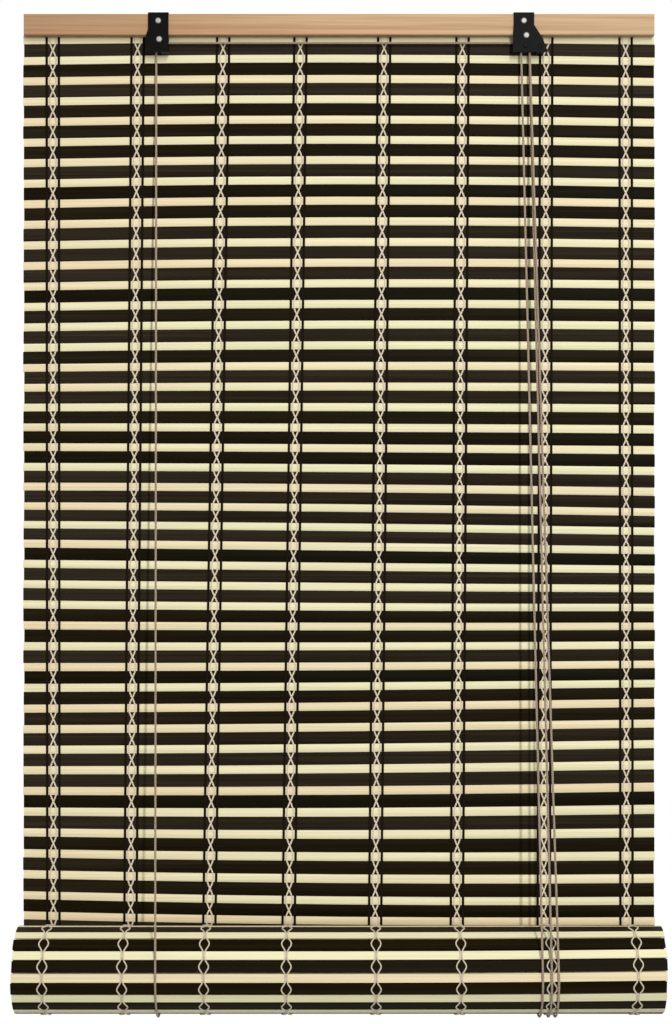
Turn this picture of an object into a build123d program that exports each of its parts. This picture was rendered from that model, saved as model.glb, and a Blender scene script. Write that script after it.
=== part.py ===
from build123d import *
import math
import os

# Head rail, a flat wooden batten
blind_width = 600.0
slat_overhang = 1.6
rail_height = 20.3
rail_depth = 10.0
rail_round = 1.5
rail_shift = -1.9

# Hanger straps, folded over the rail with a tab behind it
hanger_spacing = 345.8
hanger_setback = 12.0
hanger_hole_radius = 2.25
strap_gauge = 1.2
strap_width = 19.4
strap_drop = 29.4
strap_bend = 1.0

# Fastenings through the straps
screw_radius = 1.3
screw_grip = 6.5
screw_head_radius = 2.9
screw_head_height = 1.5
upper_screw_drop = 8.2
lock_rivet_drop = 22.2
lock_rivet_offset = 2.2
cage_rivet_drop = 26.0
cage_rivet_offset = 1.0
rivet_radius = 1.2
fit_clearance = 0.05

# Cords
cord_radius = 1.1
cord_joint = 0.15

# Sheaves under the straps
sheave_offset = 1.6
sheave_drop = 31.6
groove_width = 2.9
flange_width = 0.6
flange_rise = 1.95
root_radius = 2.85
pin_radius = 1.5
pin_head_radius = 2.5
pin_head_height = 0.8
side_play = 0.4

# Left pulley cage
cage_top_drop = 16.5
cage_shoulder_drop = 25.5
cage_bottom_drop = 38.0
cage_left_reach = 12.4
cage_right_reach = 9.4
cage_tongue_reach = 0.8
cage_gauge = 1.2

# Right cord lock frame
lock_top_drop = 12.6
lock_knee_drop = 25.0
lock_bottom_drop = 38.0
lock_left_reach = 10.6
lock_knee_reach = 17.8
lock_right_reach = 22.5
lock_tongue_reach = 18.6

# Lock cam
cam_offset = 15.8
cam_drop = 32.0
cam_hub_radius = 3.3
cam_reach = 8.7
cam_low_reach = 6.4
cam_tooth_depth = 0.8
cam_tooth_count = 5
cam_face_height = 6.0

# Slats of the mat
light_width = 8.0
dark_width = 10.5
slat_gap = 0.5
slat_thickness = 2.0
slat_edge = 0.6
mat_tuck = 2.2
hanging_pairs = 45
upper_pairs = 7

# Woven columns, as shares of the blind's width at the top and at the roll
column_top_shares = (-0.4538, -0.3192, -0.1835, -0.0610, 0.0717, 0.1958, 0.3285, 0.4543)
column_low_shares = (-0.4528, -0.3312, -0.2065, -0.0807, 0.0565, 0.1863, 0.3243, 0.4558)
thread_thickness = 0.6
stitch_half_width = 3.2
crossing_half_width = 0.8
edge_thread_offset = 5.8
edge_thread_half_width = 0.9
back_thread_half_width = 0.8
back_stitch_width = 8.5

# Roll of the rest of the mat
roll_radius = 38.3
first_slat_rise = 3.2
turn_spacing = 4.2
dowel_radius = 13.6
weave_seat = 0.25
dowel_clearance = 0.3
loop_clearance = 0.3

# Tacks in the hem and eyes for the lift cords
tack_count = 6
tack_margin = 40.0
tack_radius = 0.8
tack_head_radius = 2.4
tack_head_height = 0.7
tack_grip = 5.0
eye_radius = 2.6
eye_wire_radius = 0.8
eye_drop = 15.5
eye_grip = 5.0

# Places where the cords cross the front of the roll
left_lift_x = -169.7
right_lift_x = 183.9
left_pull_x = 192.1
right_pull_x = 198.5

# Coils of the pull cords' spare length, tied behind the mat
coil_radius = 13.0
coil_bundle = 8.8
coil_rise = 40.0
coil_spacing = 36.6
coil_clearance = 0.1
tie_gauge = 0.4
tie_height = 4.0
tie_clearance = 0.15
knot_radius = 2.6

# Levels and planes worked out from the sizes above
rail_top = -strap_gauge
rail_bottom = rail_top - rail_height
rail_back = -hanger_setback
rail_front = rail_back - rail_depth
rail_middle = rail_front + rail_depth / 2
strap_front = rail_front - strap_gauge
cage_front = strap_front - cage_gauge
mat_front = rail_back + thread_thickness
mat_back = mat_front + slat_thickness
mat_middle = (mat_front + mat_back) / 2
leg_back = rail_back - side_play
leg_front = leg_back - cage_gauge
pair_pitch = light_width + dark_width + 2 * slat_gap
mat_start = rail_bottom + mat_tuck
mat_split = mat_start - upper_pairs * pair_pitch
mat_end = mat_start - hanging_pairs * pair_pitch
roll_z = mat_end - first_slat_rise
roll_y = mat_middle - roll_radius
left_strap_x = -hanger_spacing / 2
right_strap_x = hanger_spacing / 2

# Whole pairs that fit in the roll's turns, and the spacing that fills the roll with them
core_radius = dowel_radius + dowel_clearance + slat_thickness / 2
turns_section = math.pi * (roll_radius ** 2 - core_radius ** 2)
first_arc = light_width / 2 - first_slat_rise
rolled_pairs = int((turns_section / turn_spacing - first_arc) / pair_pitch + 1 / 2)
rolled_length = first_arc + (rolled_pairs - 1 / 2) * pair_pitch
roll_lead = turns_section / rolled_length

# Sheave sizes that follow from the cord
flange_radius = root_radius + flange_rise
pitch_radius = root_radius + fit_clearance + cord_radius
bore_radius = pin_radius + fit_clearance
sheave_width = 3 * flange_width + 2 * groove_width
sheave_back = leg_front - side_play
sheave_z = -sheave_drop
left_sheave_x = left_strap_x + sheave_offset
right_sheave_x = right_strap_x + sheave_offset
rear_groove_y = sheave_back - flange_width - groove_width / 2
front_groove_y = rear_groove_y - groove_width - flange_width

os.makedirs("parts", exist_ok=True)


def facing(y):
    """Plane that faces the viewer at depth y, with X to the right and Z up."""
    return Plane(origin=(0, y, 0), x_dir=(1, 0, 0), z_dir=(0, -1, 0))


def keep(builder, label):
    """Name the finished piece and write it."""
    builder.part.label = label
    export_step(builder.part, f"parts/{label}.step")


# Places of the small holes through the hem and into the rail
hem_top = mat_start + slat_gap + dark_width
hem_middle = mat_start + slat_gap + dark_width / 2
tack_step = (blind_width - 2 * tack_margin) / (tack_count - 1)
tack_places = []
for tack in range(tack_count):
    tack_places.append((rail_shift - blind_width / 2 + tack_margin + tack * tack_step, hem_middle))
eye_places = [(left_strap_x, -eye_drop), (right_strap_x, -eye_drop)]
upper_screw_places = [(left_strap_x, -upper_screw_drop), (right_strap_x, -upper_screw_drop)]
lock_rivet_place = (right_strap_x + lock_rivet_offset, -lock_rivet_drop)
cage_rivet_place = (left_strap_x + cage_rivet_offset, -cage_rivet_drop)

# Head rail with its screw, tack and eye holes
with BuildPart() as head_rail:
    with Locations((rail_shift, rail_middle, rail_top - rail_height / 2)):
        Box(blind_width - 2 * slat_overhang, rail_depth, rail_height)
    fillet(head_rail.edges().filter_by(Axis.X), radius=rail_round)
    with BuildSketch(facing(rail_front)):
        with Locations(*upper_screw_places):
            Circle(screw_radius + fit_clearance)
    extrude(amount=-screw_grip - fit_clearance, mode=Mode.SUBTRACT)
    with BuildSketch(facing(rail_back)):
        with Locations(*tack_places):
            Circle(tack_radius + fit_clearance)
    extrude(amount=tack_grip + fit_clearance, mode=Mode.SUBTRACT)
    with BuildSketch(facing(rail_back)):
        with Locations(*eye_places):
            Circle(eye_wire_radius + fit_clearance)
    extrude(amount=eye_grip + fit_clearance, mode=Mode.SUBTRACT)
keep(head_rail, "head_rail")


def hanger_strap(label, centre_x, fixings):
    """Folded strap: tab with its hole, top over the rail, and front leg with fixing holes."""
    with BuildPart() as strap:
        with BuildSketch(Plane.XY.offset(-strap_gauge)):
            with Locations((centre_x, strap_front / 2)):
                Rectangle(strap_width, -strap_front)
            with Locations((centre_x, 0)):
                Circle(strap_width / 2)
                Circle(hanger_hole_radius, mode=Mode.SUBTRACT)
        extrude(amount=strap_gauge)
        with BuildSketch(facing(rail_front)):
            with Locations((centre_x, -strap_drop / 2)):
                Rectangle(strap_width, strap_drop)
        extrude(amount=strap_gauge)
        bend = strap.edges().filter_by(Axis.X).group_by(Axis.Z)[-1].sort_by(Axis.Y)[0]
        fillet(bend, radius=strap_bend)
        for place, radius in fixings:
            with BuildSketch(facing(rail_front)):
                with Locations(place):
                    Circle(radius + fit_clearance)
            extrude(amount=strap_gauge, mode=Mode.SUBTRACT)
    keep(strap, label)


hanger_strap(
    "left_hanger_strap",
    left_strap_x,
    [(upper_screw_places[0], screw_radius), (cage_rivet_place, rivet_radius)],
)
hanger_strap(
    "right_hanger_strap",
    right_strap_x,
    [(upper_screw_places[1], screw_radius), (lock_rivet_place, rivet_radius)],
)


# Screws through the straps, with domed heads and shanks in the rail
with BuildPart() as bracket_screws:
    with BuildSketch(facing(rail_front + screw_grip)):
        with Locations(*upper_screw_places):
            Circle(screw_radius)
    extrude(amount=rail_front + screw_grip - strap_front)
    with BuildSketch(facing(strap_front)):
        with Locations(*upper_screw_places):
            Circle(screw_head_radius)
    extrude(amount=screw_head_height)
    fillet(bracket_screws.edges().group_by(Axis.Y)[0], radius=screw_head_height - strap_gauge / 4)
keep(bracket_screws, "upper_bracket_screws")


def folded_frame(label, outline, rivet_place, pin_places, tongue):
    """Sheet frame: front leg over the strap, foot tongue under the wheels, rear leg behind them."""
    tongue_left, tongue_right, bottom = tongue
    rear_top = rail_bottom - side_play
    with BuildPart() as frame:
        with BuildSketch(facing(strap_front)):
            Polygon(*outline, align=None)
        extrude(amount=cage_gauge)
        with BuildSketch(facing(leg_back)):
            with Locations((tongue_left, bottom)):
                Rectangle(tongue_right - tongue_left, cage_gauge, align=(Align.MIN, Align.MIN))
        extrude(amount=leg_back - cage_front)
        with BuildSketch(facing(leg_back)):
            with Locations((tongue_left, bottom)):
                Rectangle(tongue_right - tongue_left, rear_top - bottom, align=(Align.MIN, Align.MIN))
            for place in pin_places:
                with BuildLine():
                    Polyline(
                        (tongue_left, place[1] - pin_head_radius),
                        (place[0], place[1] - pin_head_radius),
                        (place[0] - pin_head_radius, place[1]),
                        (place[0], place[1] + pin_head_radius),
                        (tongue_left, place[1] + pin_head_radius),
                        close=True,
                    )
                make_face()
        extrude(amount=cage_gauge)
        for place, radius in [(rivet_place, rivet_radius)] + [(place, pin_radius) for place in pin_places]:
            with BuildSketch(facing(leg_back)):
                with Locations(place):
                    Circle(radius + fit_clearance)
            extrude(amount=leg_back - cage_front, mode=Mode.SUBTRACT)
    keep(frame, label)


left_pin_place = (left_sheave_x, sheave_z)
right_pin_place = (right_sheave_x, sheave_z)
cam_place = (right_strap_x + cam_offset, -cam_drop)

folded_frame(
    "left_pulley_cage",
    [
        (left_strap_x - strap_width / 2, -cage_top_drop),
        (left_strap_x - cage_left_reach, -cage_shoulder_drop),
        (left_strap_x - cage_left_reach, -cage_bottom_drop),
        (left_strap_x + cage_right_reach, -cage_bottom_drop),
        (left_strap_x + cage_right_reach, -cage_top_drop),
    ],
    cage_rivet_place,
    [left_pin_place],
    (left_sheave_x + cage_tongue_reach, left_strap_x + cage_right_reach, -cage_bottom_drop),
)
folded_frame(
    "lock_frame",
    [
        (right_strap_x - strap_width / 2, -lock_top_drop),
        (right_strap_x - lock_left_reach, -cage_shoulder_drop),
        (right_strap_x - lock_left_reach, -lock_bottom_drop),
        (right_strap_x + lock_right_reach, -lock_bottom_drop),
        (right_strap_x + lock_knee_reach, -lock_knee_drop),
        (right_strap_x + strap_width / 2, -lock_top_drop),
    ],
    lock_rivet_place,
    [right_pin_place, cam_place],
    (right_strap_x + cam_offset - cam_hub_radius, right_strap_x + lock_tongue_reach, -lock_bottom_drop),
)


def domed_rivet(label, place):
    """Rivet that joins a frame to its strap, set flush at the strap's back."""
    with BuildPart() as rivet:
        with BuildSketch(facing(rail_front)):
            with Locations(place):
                Circle(rivet_radius)
        extrude(amount=rail_front - cage_front)
        with BuildSketch(facing(cage_front)):
            with Locations(place):
                Circle(screw_head_radius)
        extrude(amount=screw_head_height)
        fillet(rivet.edges().group_by(Axis.Y)[0], radius=screw_head_height - strap_gauge / 4)
    keep(rivet, label)


domed_rivet("pulley_cage_rivet", cage_rivet_place)
domed_rivet("lock_frame_rivet", lock_rivet_place)


def headed_pin(label, place):
    """Pin through both legs of a frame, with a flat head at the front."""
    with BuildPart() as pin:
        with BuildSketch(facing(leg_back)):
            with Locations(place):
                Circle(pin_radius)
        extrude(amount=leg_back - cage_front)
        with BuildSketch(facing(cage_front)):
            with Locations(place):
                Circle(pin_head_radius)
        extrude(amount=pin_head_height)
        chamfer(pin.edges().group_by(Axis.Y)[0], length=pin_head_height / 3)
    keep(pin, label)


headed_pin("left_sheave_pin", left_pin_place)
headed_pin("right_sheave_pin", right_pin_place)
headed_pin("lock_cam_pin", cam_place)


def sheave(label, centre_x, flange_backs):
    """Turned wheel with a hub as wide as its frame and a flange at each given depth."""
    with BuildPart() as wheel:
        with BuildSketch(facing(sheave_back)):
            with Locations((centre_x, sheave_z)):
                Circle(root_radius)
        extrude(amount=sheave_width)
        for flange_back in flange_backs:
            with BuildSketch(facing(flange_back)):
                with Locations((centre_x, sheave_z)):
                    Circle(flange_radius)
            extrude(amount=flange_width)
        with BuildSketch(facing(sheave_back)):
            with Locations((centre_x, sheave_z)):
                Circle(bore_radius)
        extrude(amount=sheave_width, mode=Mode.SUBTRACT)
    keep(wheel, label)


rear_flanges = [sheave_back, sheave_back - flange_width - groove_width]
sheave("left_sheave", left_sheave_x, rear_flanges)
sheave("right_sheave", right_sheave_x, rear_flanges + [sheave_back - sheave_width + flange_width])

# Toothed cam that grips the pull cords against the right sheave
cam_foot = (cam_place[0] - cam_low_reach, cam_place[1] - cam_hub_radius)
cam_nose = (cam_place[0] - cam_reach, cam_place[1] - cam_hub_radius + cam_face_height)


def cam_face_point(share, depth):
    """Point along the gripping face, set back from it by a depth."""
    return (
        cam_foot[0] + (cam_nose[0] - cam_foot[0]) * share + depth,
        cam_foot[1] + (cam_nose[1] - cam_foot[1]) * share,
    )


with BuildPart() as lock_cam:
    with BuildSketch(facing(sheave_back)):
        with BuildLine():
            Polyline(
                (cam_place[0], cam_place[1] - cam_hub_radius),
                cam_foot,
                cam_nose,
                (cam_place[0], cam_place[1] + cam_hub_radius),
                close=True,
            )
        make_face()
        with Locations(cam_place):
            Circle(cam_hub_radius)
            Circle(bore_radius, mode=Mode.SUBTRACT)
        for tooth in range(cam_tooth_count):
            start_share = tooth / cam_tooth_count
            end_share = (tooth + 1) / cam_tooth_count
            with BuildLine():
                Polyline(
                    cam_face_point(start_share, 0),
                    cam_face_point((start_share + end_share) / 2, cam_tooth_depth),
                    cam_face_point(end_share, 0),
                    close=True,
                )
            make_face(mode=Mode.SUBTRACT)
    extrude(amount=sheave_width)
keep(lock_cam, "lock_cam")

# Tacks through the hem slat into the rail
with BuildPart() as hem_tacks:
    with BuildSketch(facing(mat_back)):
        with Locations(*tack_places):
            Circle(tack_radius)
    extrude(amount=mat_back - rail_back + tack_grip)
    with BuildSketch(facing(mat_back + tack_head_height)):
        with Locations(*tack_places):
            Circle(tack_head_radius)
    extrude(amount=tack_head_height)
keep(hem_tacks, "hem_tacks")

# Screw eyes that hold the upper ends of the lift cords
eye_y = mat_back + eye_radius + eye_wire_radius
with BuildPart() as cord_eyes:
    for eye_x, eye_z in eye_places:
        with BuildSketch(Plane.YZ.offset(eye_x)):
            with Locations((eye_y, eye_z)):
                Circle(eye_radius + eye_wire_radius)
                Circle(eye_radius - eye_wire_radius, mode=Mode.SUBTRACT)
        extrude(amount=eye_wire_radius, both=True)
    with BuildSketch(facing(eye_y - eye_radius)):
        with Locations(*eye_places):
            Circle(eye_wire_radius)
    extrude(amount=eye_y - eye_radius - rail_back + eye_grip)
keep(cord_eyes, "cord_eyes")


def slat_outline(width):
    """Section of a slat: flat back, front face with eased long edges."""
    return [
        (slat_thickness / 2, -width / 2),
        (slat_thickness / 2, width / 2),
        (slat_edge - slat_thickness / 2, width / 2),
        (-slat_thickness / 2, width / 2 - slat_edge),
        (-slat_thickness / 2, slat_edge - width / 2),
        (slat_edge - slat_thickness / 2, -width / 2),
    ]


def hanging_place(middle_z):
    """Place of a slat in the hanging mat."""
    return Location((mat_middle, middle_z, 0))


def light_middle(pair):
    """Height of the middle of a pair's light slat."""
    return mat_start - pair * pair_pitch - light_width / 2


def dark_middle(pair):
    """Height of the middle of a pair's dark slat."""
    return mat_start - pair * pair_pitch - light_width - slat_gap - dark_width / 2


def slat_group(label, width, places, holes=()):
    """Equal slats at their places, with any holes through them."""
    with BuildPart() as slats:
        with BuildSketch(Plane.YZ.offset(rail_shift)):
            with Locations(*places):
                Polygon(*slat_outline(width), align=None)
        extrude(amount=blind_width / 2, both=True)
        for hole_places, radius in holes:
            with BuildSketch(facing(mat_back)):
                with Locations(*hole_places):
                    Circle(radius + fit_clearance)
            extrude(amount=slat_thickness, mode=Mode.SUBTRACT)
    keep(slats, label)


upper_range = range(upper_pairs)
lower_range = range(upper_pairs, hanging_pairs)
slat_group("upper_light_slats", light_width, [hanging_place(light_middle(pair)) for pair in upper_range])
slat_group(
    "hem_slat",
    dark_width,
    [hanging_place(hem_middle)],
    [(tack_places, tack_radius), (eye_places, eye_wire_radius)],
)
slat_group("upper_dark_slats", dark_width, [hanging_place(dark_middle(pair)) for pair in upper_range])
slat_group("lower_light_slats", light_width, [hanging_place(light_middle(pair)) for pair in lower_range])
slat_group("lower_dark_slats", dark_width, [hanging_place(dark_middle(pair)) for pair in lower_range])

# Slats of the roll, laid flat along a spiral that starts where the mat meets the roll
rolled_slats = []
for slat in range(2 * rolled_pairs):
    arc = first_arc + slat * pair_pitch / 2
    turn_radius = math.sqrt(roll_radius ** 2 - roll_lead * arc / math.pi)
    turned = (roll_radius - turn_radius) * 2 * math.pi / roll_lead
    lean = turned + math.atan(roll_lead / (2 * math.pi * turn_radius))
    rolled_slats.append((turned, turn_radius, lean))


def rolled_place(rolled_slat):
    """Place of a slat in the roll, its back face outwards."""
    angle, radius, lean = rolled_slat
    middle = (roll_y + radius * math.cos(angle), roll_z - radius * math.sin(angle), 0)
    return Location(middle, (0, 0, -math.degrees(lean)))


slat_group("roll_light_slats", light_width, [rolled_place(entry) for entry in rolled_slats[0::2]])
slat_group("roll_dark_slats", dark_width, [rolled_place(entry) for entry in rolled_slats[1::2]])

# Bottom dowel in the core of the roll
with BuildPart() as bottom_dowel:
    with BuildSketch(Plane.YZ.offset(rail_shift)):
        with Locations((roll_y, roll_z)):
            Circle(dowel_radius)
    extrude(amount=blind_width / 2, both=True)
keep(bottom_dowel, "bottom_dowel")


def column_x(column, z):
    """Sideways place of a woven column at a height."""
    fall_share = (mat_start - z) / (mat_start - roll_z)
    top_share = column_top_shares[column]
    low_share = column_low_shares[column]
    return rail_shift + blind_width * (top_share + (low_share - top_share) * fall_share)


def thread_strip(column, stations, offset):
    """Outline of a thread strip down a column through (height, half width) stations."""
    left = [(column_x(column, z) + offset - half, z) for z, half in stations]
    right = [(column_x(column, z) + offset + half, z) for z, half in stations]
    return left + right[::-1]


def stitch_stations(pairs, start_z, end_z):
    """Heights and half widths of the crossing threads: wide on light slats, narrow on dark ones."""
    joint_half_width = (stitch_half_width + crossing_half_width) / 2
    stations = [(start_z, joint_half_width)]
    for pair in pairs:
        stations.append((light_middle(pair), stitch_half_width))
        stations.append((dark_middle(pair), crossing_half_width))
    return stations + [(end_z, joint_half_width)]


def weave(label, edge_label, pairs, start_z, end_z):
    """Crossing threads in front with single threads behind, and the straight edge threads."""
    straight_back = [(start_z, back_thread_half_width), (end_z, back_thread_half_width)]
    straight_edge = [(start_z, edge_thread_half_width), (end_z, edge_thread_half_width)]
    columns = range(len(column_top_shares))
    with BuildPart() as stitches:
        with BuildSketch(facing(mat_front)):
            for column in columns:
                Polygon(*thread_strip(column, stitch_stations(pairs, start_z, end_z), 0), align=None)
        extrude(amount=thread_thickness)
        with BuildSketch(facing(mat_back + thread_thickness)):
            for column in columns:
                Polygon(*thread_strip(column, straight_back, 0), align=None)
        extrude(amount=thread_thickness)
    keep(stitches, label)
    with BuildPart() as edges:
        with BuildSketch(facing(mat_front)):
            for column in columns:
                for offset in (-edge_thread_offset, edge_thread_offset):
                    Polygon(*thread_strip(column, straight_edge, offset), align=None)
        extrude(amount=thread_thickness)
    keep(edges, edge_label)


weave("upper_weave", "upper_edge_threads", upper_range, hem_top, mat_split)
weave("lower_weave", "lower_edge_threads", lower_range, mat_split, mat_end)

# Threads around the outer turn of the roll, flat across each slat's back
outer_slats = [entry for entry in rolled_slats if entry[0] < 2 * math.pi]
inner_corners = []
outer_corners = []
for first, second in zip(outer_slats, outer_slats[1:]):
    corner_angle = -(first[2] + second[2]) / 2
    corner_stretch = 1 / math.cos((second[2] - first[2]) / 2)
    seat_radius = (first[1] + second[1]) / 2 + slat_thickness / 2 + weave_seat
    for corners, radius in ((inner_corners, seat_radius), (outer_corners, seat_radius + thread_thickness)):
        reach = radius * corner_stretch
        corners.append((roll_y + reach * math.cos(corner_angle), roll_z + reach * math.sin(corner_angle)))
with BuildPart() as roll_weave:
    for column in range(len(column_low_shares)):
        with BuildSketch(Plane.YZ.offset(column_x(column, roll_z))):
            Polygon(*inner_corners, *outer_corners[::-1], align=None)
        extrude(amount=back_stitch_width / 2, both=True)
keep(roll_weave, "roll_weave")

# Circle that the cords follow under the roll
corner_radius = math.hypot(roll_radius + slat_thickness / 2 + weave_seat + thread_thickness, dark_width / 2)
loop_radius = corner_radius + loop_clearance + cord_radius
back_cord_y = roll_y + loop_radius


def front_tangent(groove_y):
    """Angle at which a cord from a sheave groove touches the loop circle, in degrees."""
    rise = sheave_z - roll_z
    depth = groove_y - roll_y
    return math.degrees(math.atan2(rise, depth) + math.acos(loop_radius / math.hypot(rise, depth)))


def front_point(cord_x, groove_y):
    """Point where a cord from a sheave groove reaches the roll."""
    angle = math.radians(front_tangent(groove_y))
    return (cord_x, roll_y + loop_radius * math.cos(angle), roll_z + loop_radius * math.sin(angle))


def straight_cord(label, start, end):
    """Taut stretch of cord between two points."""
    run = Vector(*end) - Vector(*start)
    with BuildPart() as cord:
        with BuildSketch(Plane(origin=start, z_dir=run).offset(cord_joint)):
            Circle(cord_radius)
        extrude(amount=run.length - 2 * cord_joint)
    keep(cord, label)


def swept_cord(label, path):
    """Cord along a path of straight runs and tangent arcs."""
    with BuildPart() as cord:
        with BuildSketch(Plane(origin=path @ 0, z_dir=path % 0)):
            Circle(cord_radius)
        sweep(path=path)
    keep(cord, label)


# Taut strands in front of the mat
straight_cord(
    "left_front_cord",
    (left_sheave_x - pitch_radius, rear_groove_y, sheave_z),
    front_point(left_lift_x, rear_groove_y),
)
straight_cord(
    "right_front_cord",
    (right_sheave_x - pitch_radius, front_groove_y, sheave_z),
    front_point(right_lift_x, front_groove_y),
)
straight_cord(
    "left_pull_cord",
    (right_sheave_x + pitch_radius, rear_groove_y, sheave_z),
    front_point(left_pull_x, rear_groove_y),
)
straight_cord(
    "right_pull_cord",
    (right_sheave_x + pitch_radius, front_groove_y, sheave_z),
    front_point(right_pull_x, front_groove_y),
)

# Strands behind the mat, from the eyes down to the roll
eye_foot = -eye_drop - eye_radius - eye_wire_radius
straight_cord("left_back_cord", (left_strap_x, eye_y, eye_foot), (left_lift_x, back_cord_y, roll_z))
straight_cord("right_back_cord", (right_strap_x, eye_y, eye_foot), (right_lift_x, back_cord_y, roll_z))

# Cross cord over the left sheave, under the rail and over the right sheave
with BuildLine(facing(rear_groove_y)) as cross_path:
    CenterArc((left_sheave_x, sheave_z), pitch_radius, 180, -90)
    Line((left_sheave_x, sheave_z + pitch_radius), (right_sheave_x, sheave_z + pitch_radius))
    CenterArc((right_sheave_x, sheave_z), pitch_radius, 90, -90)
swept_cord("cross_cord", cross_path.wire())

# Right lift cord over its sheave
with BuildLine(facing(front_groove_y)) as over_path:
    CenterArc((right_sheave_x, sheave_z), pitch_radius, 180, -180)
swept_cord("right_sheave_cord", over_path.wire())


def lift_loop(label, cord_x, groove_y):
    """Half turn of a lift cord under the roll."""
    with BuildLine(Plane.YZ.offset(cord_x)) as path:
        CenterArc((roll_y, roll_z), loop_radius, 0, front_tangent(groove_y) - 360)
    swept_cord(label, path.wire())


lift_loop("left_lift_loop", left_lift_x, rear_groove_y)
lift_loop("right_lift_loop", right_lift_x, front_groove_y)


def pull_loop(label, cord_x, groove_y, coil_z):
    """Half turn of a pull cord under the roll, and its run up to the coil."""
    with BuildLine(Plane.YZ.offset(cord_x)) as path:
        CenterArc((roll_y, roll_z), loop_radius, front_tangent(groove_y), 360 - front_tangent(groove_y))
        Line((back_cord_y, roll_z), (back_cord_y, coil_z))
    swept_cord(label, path.wire())


left_coil_z = roll_z + coil_rise
right_coil_z = left_coil_z + coil_spacing
pull_loop("left_pull_loop", left_pull_x, rear_groove_y, left_coil_z)
pull_loop("right_pull_loop", right_pull_x, front_groove_y, right_coil_z)

# Coils of the spare pull cord, flat behind the mat
coil_front = back_cord_y + cord_radius + coil_clearance
coil_back = coil_front + coil_bundle


def pull_coil(label, cord_x, coil_z):
    """Outer shape of a round coil whose left side stands behind its cord."""
    with BuildPart() as coil:
        with BuildSketch(facing(coil_back)):
            with Locations((cord_x + coil_radius, coil_z)):
                Circle(coil_radius + coil_bundle / 2)
                Circle(coil_radius - coil_bundle / 2, mode=Mode.SUBTRACT)
        extrude(amount=coil_bundle)
    keep(coil, label)


pull_coil("left_pull_coil", left_pull_x, left_coil_z)
pull_coil("right_pull_coil", right_pull_x, right_coil_z)

# Ties that hold the coils to the right lift cord's back strand
coil_fall_share = (eye_foot - right_coil_z) / (eye_foot - roll_z)
back_strand_x = right_strap_x + (right_lift_x - right_strap_x) * coil_fall_share
tie_left = back_strand_x - cord_radius - tie_clearance
tie_front = back_cord_y - cord_radius - tie_clearance
tie_back = coil_back + tie_clearance
tie_chord = math.sqrt((coil_radius - coil_bundle / 2) ** 2 - (tie_height / 2) ** 2)
with BuildPart() as coil_ties:
    for cord_x, coil_z in ((left_pull_x, left_coil_z), (right_pull_x, right_coil_z)):
        tie_right = cord_x + coil_radius - tie_chord + tie_clearance
        with BuildSketch(Plane.XY.offset(coil_z - tie_height / 2)):
            with Locations(((tie_left + tie_right) / 2, (tie_front + tie_back) / 2)):
                Rectangle(tie_right - tie_left + 2 * tie_gauge, tie_back - tie_front + 2 * tie_gauge)
                Rectangle(tie_right - tie_left, tie_back - tie_front, mode=Mode.SUBTRACT)
        extrude(amount=tie_height)
keep(coil_ties, "coil_ties")

# Knots at the ends of the pull cords, against the backs of the coils
with BuildPart() as pull_knots:
    for cord_x, coil_z in ((left_pull_x, left_coil_z), (right_pull_x, right_coil_z)):
        with Locations((cord_x + 2 * coil_radius, coil_back + fit_clearance + knot_radius, coil_z)):
            Sphere(knot_radius)
keep(pull_knots, "pull_knots")
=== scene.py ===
"""Dressed model of a bamboo roll up blind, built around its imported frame."""

import logging
import math
import random
from dataclasses import dataclass, field
from enum import Enum
from typing import Sequence

import bmesh
import bpy
from mathutils import Matrix, Vector


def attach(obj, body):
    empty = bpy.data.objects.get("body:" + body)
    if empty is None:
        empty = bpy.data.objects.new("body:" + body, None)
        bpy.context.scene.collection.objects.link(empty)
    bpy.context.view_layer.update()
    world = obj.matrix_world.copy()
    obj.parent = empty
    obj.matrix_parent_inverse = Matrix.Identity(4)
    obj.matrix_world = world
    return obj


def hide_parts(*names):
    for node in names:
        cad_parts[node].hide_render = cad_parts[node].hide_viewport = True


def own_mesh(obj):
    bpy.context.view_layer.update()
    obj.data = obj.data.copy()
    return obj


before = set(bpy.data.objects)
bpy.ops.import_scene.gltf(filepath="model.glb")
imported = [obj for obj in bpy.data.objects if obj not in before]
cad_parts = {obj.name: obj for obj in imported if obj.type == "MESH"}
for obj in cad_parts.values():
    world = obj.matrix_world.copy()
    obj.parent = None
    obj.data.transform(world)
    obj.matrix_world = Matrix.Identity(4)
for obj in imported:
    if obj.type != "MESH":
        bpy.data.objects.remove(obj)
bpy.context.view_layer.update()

Colour = tuple[float, float, float, float]
Point = tuple[float, float, float]

LOG = logging.getLogger("blind")
TONE = "slat_tone"
TONE_MIDDLE = 0.5
TONE_SPREAD = 0.22
SEED = 7
MILLIMETRE = 0.001
UPRIGHT = math.radians(90)
ROUND_ANGLE = 60.0
WHITE: Colour = (1, 1, 1, 1)


class Body(Enum):
    """Bodies of the frame that pieces ride on."""

    HEAD = "head"
    SLING = "sling"
    ROLL = "roll"


class Slot(Enum):
    """Material slots of the record that new pieces take their finish from."""

    LIGHT_BAMBOO = "light_bamboo"
    DARK_BAMBOO = "dark_bamboo"
    LIGHT_THREAD = "light_thread"
    DARK_THREAD = "dark_thread"
    TAN_CORD = "tan_cord"


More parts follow.
